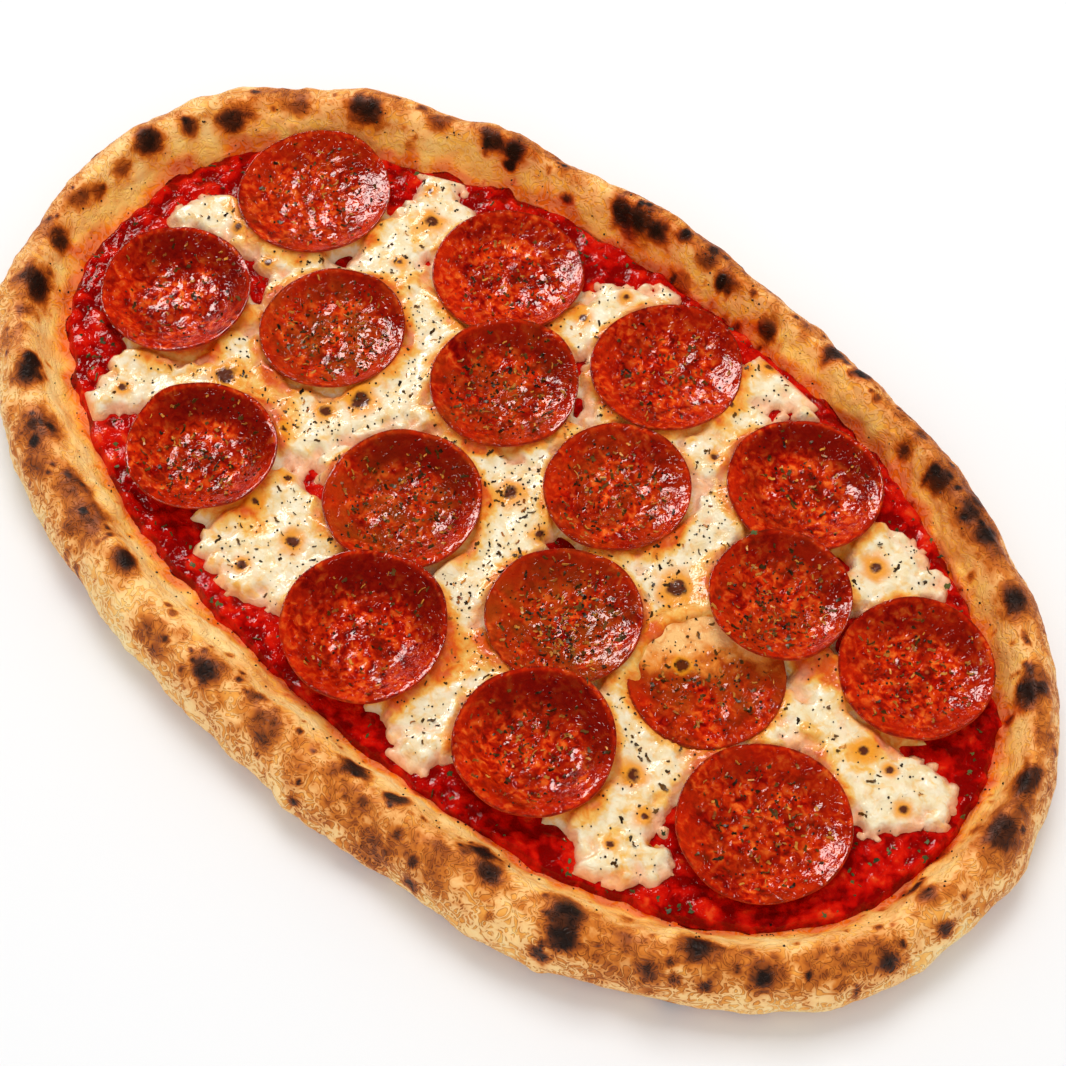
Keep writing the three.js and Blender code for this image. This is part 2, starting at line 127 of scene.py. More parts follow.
# Pools of melted cheese, which run together: x, y, radius.
POOLS = [
    (-117, 8, 7.5), (-122, 2, 4), (-105, 8, 5.5), (-95, 9, 5), (-86, 13, 6), (-84, 3, 5),
    (-74, 46, 9.5), (-75, 34, 9), (-72, 24, 7), (-82, 56, 6), (-64, 28, 6), (-70, 52, 5),
    (-87, 59, 3), (-54, 24, 7), (-44, 22, 7), (-44, 8, 8), (-42, -6, 8), (-46, -16, 7), (-38, 0, 6),
    (-40, 16, 6), (-78, -18, 7), (-66, -21, 7), (-54, -19, 7), (-84, -8, 4), (-48, -24, 6),
    (-70, -26, 6), (-36, -22, 5), (-91, -38, 5), (-84, -36, 6), (-96, -40, 4), (-91, -46, 5),
    (-92, -52, 4.5), (-86, -42, 5), (-78, -28, 6), (-34, -42, 10), (-26, -50, 10), (-39, -53, 6),
    (-41, -60, 3.5), (-28, -60, 5), (-18, -56, 5), (-20, -40, 6), (-40, -38, 6), (-34, -58, 4),
    (2, 2, 10), (8, -4, 9), (12, -14, 8), (10, -24, 7), (14, -32, 7), (-4, 0, 6), (22, -36, 7),
    (-20, 2, 5), (-28, 4, 4), (-12, 4, 5), (-3, 14, 5), (-2, 24, 4), (-8, 42, 5), (1, 35, 5),
    (27, -44, 8), (29, -53, 6.5), (25, -57, 4), (33, -62, 4), (37, -57, 3.5), (33, -36, 6),
    (34, -68, 2.5), (57, -8, 8), (59, -18, 7), (66, -24, 6), (55, 4, 8), (58, 10, 6), (49, 10, 8),
    (43, 16, 9), (43, 26, 7), (39, 36, 6), (46, 32, 4), (34, 6, 5), (28, 4, 4), (40, 2, 4),
    (-21, 54, 7), (-23, 46, 7), (-25, 62, 5), (-19, 66, 5), (-14, 73, 4), (22, 70, 7), (25, 57, 8),
    (27, 44, 7), (20, 76, 4.5), (29, 76, 3.5), (35, 71, 3), (15, 41, 5), (77, 52, 8), (85, 49, 7),
    (72, 56, 4.5), (89, 57, 3.5), (79, 42, 5), (80, 60, 2), (106, 9, 8), (95, 9, 7), (118, 10, 8),
    (124, 15, 5.5), (87, 8, 4), (120, 3, 6), (112, 4, 6), (129, 12, 3), (86, 20, 6), (92, 17, 4),
    (76, -27, 8), (79, -38, 8), (85, -47, 6.5), (75, -47, 5), (91, -43, 4.5), (83, -55, 3.5),
    (88, -1, 5), (83, -15, 6), (73, -17, 5),
]
POOL_BLEND = 2.0  # how softly two pools run together
CHEESE_UNDER_SLICE = 1.6  # how far in from a slice's edge the cheese beneath it may fill
CHEESE_CREEP = 5.0  # how far it runs on, out of sight under a slice
HUG_SHARE = 0.75  # how much of a slice's curl the cheese beside it climbs
HIGHEST_HUG = 15.6

# ---- Where the oven marked the pizza, by pixel of the photograph: x, y, radius, darkness ----
CRUST_MARKS = [
    (150, 142, 15, 0.95), (232, 120, 14, 0.85), (366, 109, 17, 0.95), (122, 170, 10, 0.62),
    (80, 197, 10, 0.7), (99, 191, 8, 0.7), (60, 240, 13, 0.85), (38, 285, 20, 1.0),
    (28, 369, 14, 1.0), (38, 427, 20, 0.74), (36, 462, 14, 0.7), (71, 483, 14, 0.72),
    (84, 516, 24, 0.68), (127, 559, 14, 1.0), (145, 631, 12, 0.7), (155, 649, 10, 0.72),
    (204, 672, 16, 0.93), (257, 697, 9, 0.72), (263, 730, 18, 0.75), (293, 802, 6, 0.9),
    (356, 768, 15, 1.0), (398, 799, 12, 0.9), (373, 850, 22, 0.72), (411, 884, 12, 0.9),
    (484, 852, 15, 1.0), (490, 872, 15, 1.0), (566, 915, 24, 0.96), (564, 938, 18, 1.0),
    (540, 956, 12, 0.92), (649, 972, 16, 0.85), (698, 946, 18, 1.0), (705, 987, 7, 1.0),
    (765, 976, 18, 0.78), (823, 975, 8, 0.74), (887, 963, 14, 1.0), (946, 929, 11, 0.9),
    (913, 889, 11, 0.82), (927, 893, 10, 0.8), (936, 852, 12, 0.6), (1004, 834, 20, 0.9),
    (1026, 782, 18, 0.92), (1028, 690, 18, 1.0), (1016, 600, 16, 1.0), (972, 512, 14, 0.95),
    (988, 533, 14, 0.97), (940, 480, 18, 0.84), (903, 454, 8, 0.74), (921, 435, 10, 0.74),
    (863, 373, 10, 0.95), (836, 353, 12, 0.95), (768, 332, 13, 0.85), (726, 282, 12, 0.74),
    (708, 261, 10, 0.72), (622, 211, 15, 0.98), (638, 222, 17, 1.0), (655, 232, 13, 0.98),
    (686, 234, 8, 0.95), (494, 142, 13, 0.93), (514, 150, 13, 0.95), (566, 199, 6, 0.78),
    (678, 285, 13, 0.6), (508, 165, 6, 0.9), (440, 120, 9, 0.7), (300, 104, 9, 0.7),
    (190, 126, 9, 0.72),
]
# Browned spots of the cheese: x, y, radius of the brown core, radius of the yellow round it.
CHEESE_MARKS = [
    (432, 221, 8, 14), (430, 191, 4, 8), (238, 227, 6, 9), (268, 262, 5, 9), (226, 375, 12, 16),
    (122, 387, 6, 9), (325, 411, 8, 12), (361, 401, 12, 17), (293, 542, 8, 13), (242, 565, 7, 10),
    (288, 478, 5, 9), (255, 501, 5, 9), (284, 429, 4, 8), (510, 493, 10, 16), (540, 535, 7, 11),
    (677, 588, 13, 22), (682, 665, 9, 9), (583, 318, 6, 10), (627, 297, 4, 8), (769, 367, 7, 12),
    (715, 457, 6, 9), (731, 404, 4, 8), (876, 568, 7, 14), (863, 751, 7, 13), (889, 770, 5, 8),
    (903, 810, 6, 9), (633, 775, 9, 15), (645, 816, 5, 11), (610, 844, 5, 8), (652, 847, 5, 8),
    (400, 262, 4, 8), (356, 300, 4, 8), (600, 640, 4, 9), (520, 556, 4, 9), (838, 560, 4, 8),
]


# ---- Small helpers ----
def smooth(value, low, high):
    """0 below low, 1 above high, and an even curve between."""
    share = np.clip((value - low) / (high - low), 0, 1)
    return share * share * (3 - 2 * share)


def wobble(points, size, seed=0, octaves=1):
    """Soft noise from about -1 to 1 at each point; size is that of a bump, in mm."""
    shift = Vector((17.3 * seed, 5.1 * seed, 9.7 * seed))
    if octaves == 1:
        return np.array([noise.noise(Vector(p) / size + shift) for p in points])
    return np.array([noise.fractal(Vector(p) / size + shift, 1.0, 2.0, octaves) for p in points])


def lumps(points, size, seed=0):
    """Rounded lumps, 1 on top of each and 0 between them; size is that of a lump, in mm."""
    shift = Vector((3.7 * seed, 8.3 * seed, 1.9 * seed))
    near = np.array([noise.voronoi(Vector(p) / size + shift)[0][0] for p in points])
    return np.sqrt(np.clip(1 - (near / 0.62) ** 2, 0, 1))


def polar(x, y):
    return np.hypot(x, y), np.arctan2(y, x)


def on_plan(x, y):
    """Points at height 0, for noise that mustn't change with height."""
    return np.column_stack([x, y, np.zeros(len(x))])


def raised(plan, height):
    """Plan points at a height, given once or for each."""
    return np.column_stack([plan, np.broadcast_to(height, len(plan))])


# ---- The oval ----
def outline(angle):
    c, s = np.cos(angle), np.sin(angle)
    across = (np.abs(c) / HALF_LENGTH) ** SQUARENESS + (np.abs(s) / HALF_WIDTH) ** SQUARENESS
    radius = across ** (-1 / SQUARENESS) * (1 + SKEW * np.sin(2 * angle))
    return np.stack([radius * c, radius * s], -1)


def inset_point(angle, inset):
    """The point a given distance in from the oval's edge."""
    step = 1e-3
    along = outline(angle + step) - outline(angle - step)
    along /= np.linalg.norm(along, axis=-1, keepdims=True)
    outward = np.stack([along[..., 1], -along[..., 0]], -1)
    return outline(angle) - outward * np.asarray(inset)[..., None]


def rim_width(angle):
    off = (np.degrees(angle) - WIDE_SPOT["angle"] + 180) % 360 - 180
    wide = WIDE_SPOT["extra"] * np.exp(-((off / WIDE_SPOT["spread"]) ** 2))
    return RIM_WIDTH - RIM_WIDTH_SWING * np.sin(angle) + wide


def swell(x, y):
    total = 0
    for length, turn, height in SWELLS:
        along = x * math.cos(math.radians(turn)) + y * math.sin(math.radians(turn))
        total = total + height * np.sin(2 * math.pi * along / length)
    return total


def blister(x, y):
    total = 0
    for bx, by, radius, height in BLISTERS:
        total = total + height * np.exp(-((x - bx) ** 2 + (y - by) ** 2) / radius**2)
    return total


def crest_height(angle):
    at = inset_point(angle, CREST_SHARE * rim_width(angle))
    rise = CREST_SWING["rise"] * np.cos(angle - math.radians(CREST_SWING["angle"]))
    return CREST + rise + swell(at[..., 0], at[..., 1])


def slope_height(angle, share, x, y):
    """Height of the rim's inner slope: share is 0 on the crest and 1 at the foot."""
    drop = (1 + np.cos(math.pi * np.clip(share, 0, 1))) / 2
    return FLOOR + (crest_height(angle) - FLOOR + blister(x, y)) * drop


def room_inside(x, y):
    """How far inside the foot of the rim a point lies."""
    turn = np.linspace(-math.pi, math.pi, 1441)
    foot = inset_point(turn, rim_width(turn))
    reach, heading = polar(foot[:, 0], foot[:, 1])
    order = np.argsort(heading)
    distance, at = polar(x, y)
    return np.interp(at, heading[order], reach[order], period=2 * math.pi) - distance


# ---- Slices and cheese, as heights over the plan ----
def slice_lean(index, x, y):
    sx, sy, radius = SLICES[index][:3]
    total = 0 * x
    for upper, lower in COVERS:
        if upper == index:
            away = np.array([SLICES[lower][0] - sx, SLICES[lower][1] - sy])
            away /= np.linalg.norm(away)
            total = total + LEAN * np.maximum(0, ((x - sx) * away[0] + (y - sy) * away[1]) / radius)
    return total


def cup_rise(share, cup):
    """How high a slice has curled, 0 in the middle and 1 at the rim. Deep ones have a flat base."""
    deep = smooth(cup, 3.4, 5.2)
    wall = smooth(share, WALL_FOOT, WALL_TOP) / smooth(1, WALL_FOOT, WALL_TOP)
    return (1 - deep) * share**3 + deep * wall


def underside(index, x, y):
    """Height of a slice's underside. A slice that lies under another is pressed flat beneath it."""
    sx, sy, radius, rest, cup = SLICES[index]
    share = np.minimum(np.hypot(x - sx, y - sy) / radius, 1)
    sink = min(SLICE_SINK, rest - LOWEST_SLICE)
    z = rest - sink + slice_lean(index, x, y) + (cup + sink) * cup_rise(share, cup)
    for upper, lower in COVERS:
        if lower == index:
            over = np.hypot(x - SLICES[upper][0], y - SLICES[upper][1]) / SLICES[upper][2]
            pressed = underside(upper, x, y) - SLICE_THICKNESS - GAP
            z = np.where(over < 1.25, np.minimum(z, pressed), z)
    return z


def from_slices(x, y):
    """Distance outside the nearest slice's edge, less than 0 under a slice."""
    return np.min([np.hypot(x - sx, y - sy) - radius for sx, sy, radius, _, _ in SLICES], axis=0)


def inside_cheese(x, y):
    """How far inside the cheese's edge a point lies, less than 0 outside it."""
    pools = sum(np.exp((radius - np.hypot(x - px, y - py)) / POOL_BLEND) for px, py, radius in POOLS)
    reach = POOL_BLEND * np.log(pools + 1e-12)
    hidden = np.minimum(-CHEESE_UNDER_SLICE - from_slices(x, y), reach + CHEESE_CREEP)
    return POOL_BLEND * np.log(pools + np.exp(np.clip(hidden, -40, 40) / POOL_BLEND) + 1e-12)


# ---- Making meshes ----
def turned_blank(rings, steps):
    """A sheet of rings, to be wrapped about Z: each vertex's ring, and its angle round Z."""
    bm = bmesh.new()
    bmesh.ops.create_grid(bm, x_segments=steps, y_segments=rings - 1, size=1)
    where = np.array([v.co[:] for v in bm.verts])
    ring = np.rint((where[:, 1] + 1) / 2 * (rings - 1)).astype(int)
    return bm, ring, math.pi * where[:, 0]


def move_all(bm, places):
    for vert, place in zip(bm.verts, places.tolist()):
        vert.co = place


def finish_mesh(name, bm, node=None):
    """Closes and turns out the faces, and makes the object."""
    bmesh.ops.remove_doubles(bm, verts=bm.verts, dist=1e-4)
    bmesh.ops.recalc_face_normals(bm, faces=bm.faces)
    for face in bm.faces:
        face.smooth = True
    mesh = bpy.data.meshes.new(name)
    bm.to_mesh(mesh)
    bm.free()
    return dress(name, mesh, node)


def dress(name, mesh, node=None):
    piece = bpy.data.objects.new(name, mesh)
    bpy.context.scene.collection.objects.link(piece)
    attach(piece, "root")
    if node:
        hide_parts(node)
    return piece


def places_of(mesh):
    flat = np.empty(3 * len(mesh.vertices), np.float32)
    mesh.vertices.foreach_get("co", flat)
    return flat.reshape(-1, 3).astype(float)


def directions_of(mesh):
    flat = np.empty(3 * len(mesh.vertices), np.float32)
    mesh.vertex_normals.foreach_get("vector", flat)
    return flat.reshape(-1, 3).astype(float)


def set_places(mesh, places):
    mesh.vertices.foreach_set("co", places.astype(np.float32).ravel())
    mesh.update()


def to_metres(mesh):
    mesh.transform(Matrix.Scale(0.001, 4))
    mesh.update()


def keep_values(bm, name, values):
    """Keeps one number for each vertex of a mesh in the making, which the material reads by name."""
    layer = bm.verts.layers.float.new(name)
    for vert, value in zip(bm.verts, values.tolist()):
        vert[layer] = value


def paint(mesh, name, values):
    """The same, on a mesh that is made."""
    layer = mesh.attributes.new(name, "FLOAT", "POINT")
    layer.data.foreach_set("value", np.asarray(values, np.float32))


# ---- Camera ----
def make_camera():
    camera = bpy.data.objects.new("camera", bpy.data.cameras.new("camera"))
    bpy.context.scene.collection.objects.link(camera)
    place, aim = Vector(CAMERA_PLACE), Vector(CAMERA_AIM)
    camera.location = place * 0.001
    camera.rotation_euler = (aim - place).to_track_quat("-Z", "Y").to_euler()
    camera.data.lens = LENS
    camera.data.sensor_width = SENSOR
    camera.data.clip_start = 0.01
    camera.data.clip_end = 20
    bpy.context.scene.camera = camera


def sight_line(px, py):
    """From the camera through a pixel of the photograph, in mm."""
    place, aim = Vector(CAMERA_PLACE), Vector(CAMERA_AIM)
    turn = (aim - place).to_track_quat("-Z", "Y")
    half = PHOTO_SIDE / 2
    across = Vector(((px - half) / half, (half - py) / half, 0)) * (SENSOR / 2 / LENS)
    return place, (turn @ (across + Vector((0, 0, -1)))).normalized()


def marks_on(mesh, marks):
    """Where marks given by pixel fall on a mesh: each one's place, and the mm that a pixel spans."""
    tree = BVHTree.FromPolygons([v.co for v in mesh.vertices], [p.vertices for p in mesh.polygons])
    found = []
    for px, py, *sizes in marks:
        start, heading = sight_line(px, py)
        hit, _, _, distance = tree.ray_cast(start, heading)
        if hit is not None:
            pixel = distance * SENSOR / LENS / PHOTO_SIDE
            found.append((np.array(hit), pixel, sizes))
    return found


# ---- Crust ----
CRUST_STEPS = 720
TOAST_SIDE = math.radians(20)  # the side that baked a little darker
# How baked the skin is at places across the rim: outside the crest, then inside it.
OUTER_TOAST = ([-1.2, -1.0, -0.85, -0.6, -0.2, 0.0], [0.7, 0.6, 0.32, 0.26, 0.44, 0.46])
INNER_TOAST = ([0.0, 0.35, 0.7, 1.0], [0.44, 0.15, 0.05, 0.02])
HALO_TOAST = 0.58  # how baked the skin is round a char mark
FRECKLES = 260
FRECKLE_RADII = [0.7, 1.0, 1.4, 2.0]
FRECKLE_CHANCES = [0.5, 0.3, 0.15, 0.05]
UNDER_TURNS = np.radians(np.linspace(90, 4, 12))
OUTER_TURNS = np.radians(np.linspace(0, 90, 36))
INNER_SHARES = np.linspace(0.025, 1, 44)
DISH_SHARES = np.array([0.75, 0.4])  # rings across the floor of the dish, as shares of its reach
CRUST_RINGS = 2 + len(UNDER_TURNS) + len(OUTER_TURNS) + len(INNER_SHARES) + len(DISH_SHARES)


def crust_ring(ring, angle):
    """Places of one ring of the crust, and how far across the rim it lies: -1 at the outer foot,
    0 on the crest, 1 at the inner foot."""
    width = rim_width(angle)
    if ring == 0:
        return np.zeros((len(angle), 3)), -1.2
    ring -= 1
    if ring < len(UNDER_TURNS):
        turn = UNDER_TURNS[ring]
        at = inset_point(angle, np.full_like(angle, FOOT_INSET * (1 - math.cos(turn))))
        return raised(at, EQUATOR * (1 - math.sin(turn))), -0.6 - 0.4 * math.sin(turn)
    ring -= len(UNDER_TURNS)
    if ring < len(OUTER_TURNS):
        turn = OUTER_TURNS[ring]
        at = inset_point(angle, CREST_SHARE * width * (1 - math.cos(turn)))
        rise = crest_height(angle) - EQUATOR + blister(at[:, 0], at[:, 1])
        return raised(at, EQUATOR + rise * math.sin(turn)), -0.6 * (1 - math.sin(turn))
    ring -= len(OUTER_TURNS)
    if ring < len(INNER_SHARES):
        share = INNER_SHARES[ring]
        at = inset_point(angle, width * (CREST_SHARE + (1 - CREST_SHARE) * share))
        return raised(at, slope_height(angle, share, at[:, 0], at[:, 1])), share
    ring -= len(INNER_SHARES)
    reach = DISH_SHARES[ring] if ring < len(DISH_SHARES) else 0
    at = inset_point(angle, width) * reach
    return raised(at, FLOOR), 1.1


def crust_relief(places, across):
    """How far the baked skin stands out: soft bulges, small blisters and fine wrinkles."""
    bulges = 1.5 * wobble(places, 24, 10) + 0.9 * wobble(places, 11, 1) + 0.45 * wobble(places, 5, 2)
    bubbles = 0.9 * lumps(places, 8.5, 3) * smooth(wobble(places, 18, 4), -0.05, 0.35)
    wrinkles = 0.2 * wobble(places, 1.9, 5, 2)
    skin = smooth(across, -1.0, -0.7) * (1 - smooth(across, 0.75, 1.0))
    in_sight = smooth(across, -1.05, -0.9) * (1 - smooth(across, 1.0, 1.05))
    return skin * (bulges + bubbles) + in_sight * wrinkles


def crust_toast(mesh, places, across):
    """How baked the skin is, from 0 for pale dough to 1 for char."""
    toast = np.where(across < 0, np.interp(across, *OUTER_TOAST), np.interp(across, *INNER_TOAST))
    toast += 0.24 * wobble(places, 17, 6, 2) + 0.12 * wobble(places, 6, 7, 2)
    toast += 0.05 * np.cos(polar(places[:, 0], places[:, 1])[1] - TOAST_SIDE)
    ragged = 1 + 0.35 * wobble(places, 5, 8) + 0.2 * wobble(places, 2.2, 9)
    for hit, pixel, (radius, darkness) in marks_on(mesh, CRUST_MARKS):
        off = np.linalg.norm(places - hit, axis=1) * ragged / (radius * pixel)
        core = 1 - smooth(off, 0.2, 1.3)
        halo = 1 - smooth(off, 0.5, 2.2)
        toast += np.maximum(HALO_TOAST - toast, 0) * halo
        toast += np.maximum(darkness - toast, 0) * core
    return toast


def crust_freckles(places, across):
    """Small dark blisters scattered over the rim by chance."""
    random = np.random.default_rng(11)
    freckles = np.zeros(len(places))
    for _ in range(FRECKLES):
        angle = np.array([random.uniform(-math.pi, math.pi)])
        share = random.uniform(0.0, 0.95)
        at = inset_point(angle, rim_width(angle) * share)[0]
        radius = random.choice(FRECKLE_RADII, p=FRECKLE_CHANCES)
        strength = random.uniform(0.4, 0.9)
        off = np.hypot(places[:, 0] - at[0], places[:, 1] - at[1]) / radius
        freckles = np.maximum(freckles, strength * (1 - smooth(off, 0.4, 1.3)) * (across < 1))
    return freckles


def sauce_reach(angle):
    """How far the sauce runs up past the foot of the rim."""
    edge = raised(outline(angle), 0.0)
    return 1.6 + 1.5 * wobble(edge, 13, 25) + 1.0 * wobble(edge, 4.5, 26)


def crust_stain(places, across, angles):
    """Orange oil that has soaked into the rim beside the sauce."""
    width = rim_width(angles)
    inset = width * (CREST_SHARE + (1 - CREST_SHARE) * np.maximum(across, 0))
    beside = width - sauce_reach(angles) - inset
    soaked = 1 - smooth(beside + 2.0 * wobble(places, 6, 12), 0.0, 4.5)
    spread = 1 - smooth(beside + 5 * wobble(places, 14, 13), 0, 13)
    golden = (0.36 + 0.3 * np.cos(angles - FAR_SIDE)) * spread
    return np.maximum(soaked, golden) * (across > 0)


def make_crust():
    bm, rings, angles = turned_blank(CRUST_RINGS, CRUST_STEPS)
    places = np.zeros((len(rings), 3))
    across = np.zeros(len(rings))
    for ring in range(CRUST_RINGS):
        on = rings == ring
        places[on], across[on] = crust_ring(ring, angles[on])
    move_all(bm, places)
    keep_values(bm, "across", across)
    keep_values(bm, "stain", crust_stain(places, across, angles))
    crust = finish_mesh("baked_crust", bm, "crust")
    mesh = crust.data
    places = places_of(mesh)
    across = np.empty(len(places), np.float32)
    mesh.attributes["across"].data.foreach_get("value", across)
    places = places + directions_of(mesh) * crust_relief(places, across)[:, None]
    places[:, 2] = np.maximum(places[:, 2], 0)
    set_places(mesh, places)
    paint(mesh, "toast", crust_toast(mesh, places, across))
    paint(mesh, "freckles", crust_freckles(places, across))
    return crust


# ---- Sauce ----
SAUCE_STEPS = 720
SAUCE_SKIRT = np.array([0.0, 0.35, 0.8, 1.3])  # how far in from its ragged edge each edge ring lies
SAUCE_BAND = np.linspace(1.8, 27, 52)
SAUCE_MIDDLE = np.linspace(0.97, 0.02, 44)  # rings of the middle, as shares of the last band's reach
# From ring to ring, two under the sauce first and its centre last: distance in, and share.
SAUCE_HELD = np.full(len(SAUCE_MIDDLE), SAUCE_BAND[-1])
SAUCE_INSETS = np.concatenate([[0, 0], SAUCE_SKIRT, SAUCE_BAND, SAUCE_HELD, [0]])
SAUCE_SCALES = np.concatenate([np.ones(2 + len(SAUCE_SKIRT) + len(SAUCE_BAND)), SAUCE_MIDDLE, [1]])
SAUCE_RINGS = len(SAUCE_INSETS)
SAUCE_EDGE_SINK = 0.4  # how far its edge is sunk into the crust


def sauce_lumps(places):
    """Crushed tomato: big soft lumps with smaller ones over them."""
    big = lumps(places, 5.6, 21) * (0.6 + 0.4 * wobble(places, 9, 22))
    small = lumps(places, 2.6, 23)
    return 1.3 * big + 0.55 * small + 0.2 * wobble(places, 1.5, 24)


def sauce_top(x, y, relief):
    """Height of the sauce over the plan: it lies level beneath the cheese and the slices."""
    bare = (1 - smooth(inside_cheese(x, y), -2.0, 0.5)) * smooth(from_slices(x, y), -3, 0.5)
    return SAUCE_TOP + relief * bare


def make_sauce():
    bm, rings, angles = turned_blank(SAUCE_RINGS, SAUCE_STEPS)
    width = rim_width(angles)
    beyond = SAUCE_INSETS[rings]
    scale = SAUCE_SCALES[rings]
    inset = width - sauce_reach(angles) + beyond
    at = inset_point(angles, inset) * scale[:, None]
    x, y = at[:, 0], at[:, 1]
    share = np.clip((inset / width - CREST_SHARE) / (1 - CREST_SHARE), 0, 1)
    slope = np.where(scale < 1, FLOOR, slope_height(angles, share, x, y))
    relief = sauce_lumps(on_plan(x, y))
    top = sauce_top(x, y, relief)
    lift = smooth(beyond, 0, 1.6)
    sunk = slope - SAUCE_EDGE_SINK
    edge = sunk + (np.maximum(top, slope + 0.25) - sunk) * lift
    places = raised(at, np.where(lift < 1, edge, np.maximum(top, slope + 0.2)))
    places[rings == 0] = (0, 0, FLOOR + GAP)
    under = rings == 1
    places[under] = raised(inset_point(angles, width + 1.0), FLOOR + GAP)[under]
    places[rings == SAUCE_RINGS - 1] = (0, 0, SAUCE_TOP)
    move_all(bm, places)
    keep_values(bm, "lump", relief)
    return finish_mesh("tomato_sauce", bm, "sauce")


# ---- Cheese ----
CHEESE_CELL = 0.66
CHEESE_REACH = (139.0, 80.0)
SMALLEST_SHEET = 14  # vertices
FILM_SLICE = 14  # the slice that the cheese has run over, from 0
FILM_HEADING = (0.71, -0.70)  # the way the film ran
FILM_LINE = 2.5  # how far past the middle of the slice its front lies
FILM_RISE = 1.0
CHEESE_CLEARANCE = 0.12  # between the cheese and the slice above it


def ragged_cheese(x, y):
    """How far inside its edge a point lies, with the small ragged shapes of the edge."""
    flat = on_plan(x, y)
    free = smooth(from_slices(x, y), 0, 3)
    ragged = 1.2 * wobble(flat, 6, 31) + 1.3 * wobble(flat, 2.9, 32) + 0.5 * wobble(flat, 1.5, 42)
    inside = inside_cheese(x, y)
    crumbs = 1.7 * (lumps(flat, 3.6, 43) - 0.35) * np.exp(-((inside / 3.5) ** 2))
    return inside + free * (ragged + crumbs)


def film_room(x, y):
    """How far behind the ragged front of the film of cheese a point lies."""
    sx, sy = SLICES[FILM_SLICE][:2]
    flat = on_plan(x, y)
    ragged = 3 * wobble(flat, 6, 33) + 1.4 * wobble(flat, 2.4, 41)
    return FILM_LINE - ((x - sx) * FILM_HEADING[0] + (y - sy) * FILM_HEADING[1] + ragged)


def film_share(x, y):
    """1 beside the part of one slice that the cheese has run over, 0 elsewhere."""
    sx, sy, radius = SLICES[FILM_SLICE][:3]
    near = 1 - smooth(np.hypot(x - sx, y - sy), radius + 0.5, radius + 3)
    return near * smooth(film_room(x, y), -1.5, 4.0)


def hugging(x, y):
    """Height of the cheese where it climbs the outside of a slice."""
    height = np.zeros(len(x))
    for index, (sx, sy, radius, rest, cup) in enumerate(SLICES):
        off = np.hypot(x - sx, y - sy) - radius
        held = np.minimum(rest + slice_lean(index, x, y) + HUG_SHARE * cup + 0.6, HIGHEST_HUG)
        if index == FILM_SLICE:
            held = held + (FILM_RISE + 0.9) * film_share(x, y)
        height = np.maximum(height, np.where(off < 6, held - 0.5 * np.maximum(off, 0), 0))
    return height


def cheese_ceiling(x, y):
    """How high the cheese may rise under the slices, and over the edge of the one it has run over."""
    ceiling = np.full(len(x), np.inf)
    for index, (sx, sy, radius, _, _) in enumerate(SLICES):
        off = np.hypot(x - sx, y - sy)
        under = underside(index, x, y) - CHEESE_CLEARANCE
        if index == FILM_SLICE:
            ragged = off + 1.5 * wobble(on_plan(x, y), 4, 45)
            lap = film_share(x, y) * smooth(ragged, radius - 4.5, radius - 1.5)
            under = under + lap * (SLICE_THICKNESS + FILM_RISE + 0.6)
        ceiling = np.minimum(ceiling, np.where(off < radius + 0.4, under, np.inf))
    return ceiling


def cheese_top(x, y, inside):
    """Height of the cheese: a round shoulder at its edge, then a lumpy and stringy top."""
    flat = on_plan(x, y)
    shoulder = np.sqrt(np.clip(1 - (1 - np.clip(inside / 1.1, 0, 1)) ** 2, 0, 1))
    bulk = CHEESE_BULK + 0.4 * swell(2.3 * x, 2.3 * y)
    lumpy = 0.5 * wobble(flat, 5.5, 34) + 0.36 * wobble(flat, 2.6, 35)
    strands = 0.3 * lumps(flat, 3.0, 36)
    thick = CHEESE_EDGE * shoulder + (bulk + lumpy + strands) * smooth(inside, 0, 3.5)
    free = SAUCE_TOP + GAP + thick
    free += np.maximum(hugging(x, y) - free, 0) * smooth(inside, 0.2, 2.5)
    return np.minimum(free, cheese_ceiling(x, y))


def cheese_grid():
    """The cheese seen from above: a fine grid cut to its ragged edge."""
    bm = bmesh.new()
    columns, rows = [int(2 * reach / CHEESE_CELL) for reach in CHEESE_REACH]
    bmesh.ops.create_grid(bm, x_segments=columns, y_segments=rows, size=1,
                          matrix=Matrix.Diagonal((*CHEESE_REACH, 1, 1)))
    where = np.array([v.co[:] for v in bm.verts])
    keep = cheese_depth(where[:, 0], where[:, 1]) > -0.3 * CHEESE_CELL
    bmesh.ops.delete(bm, geom=[v for v, kept in zip(bm.verts, keep) if not kept], context="VERTS")
    loose = [v for v in bm.verts if not v.link_faces]
    bmesh.ops.delete(bm, geom=loose, context="VERTS")
    drop_islands(bm)
    return bm


def cheese_depth(x, y):
    """How far inside the edge of the cheese, which also ends a little short of the rim."""
    return np.minimum(ragged_cheese(x, y), room_inside(x, y) - 1.0)


def drop_islands(bm):
    """Drops the specks, and keeps each connected sheet of a few square millimetres."""
    bm.verts.index_update()
    group = [-1] * len(bm.verts)
    sizes = []
    for start in bm.verts:
        if group[start.index] >= 0:
            continue
        group[start.index] = len(sizes)
        stack = [start]
        count = 0
        while stack:
            vert = stack.pop()
            count += 1
            for edge in vert.link_edges:
                other = edge.other_vert(vert)
                if group[other.index] < 0:
                    group[other.index] = len(sizes)
                    stack.append(other)
        sizes.append(count)
    specks = [v for v in bm.verts if sizes[group[v.index]] < SMALLEST_SHEET]
    bmesh.ops.delete(bm, geom=specks, context="VERTS")


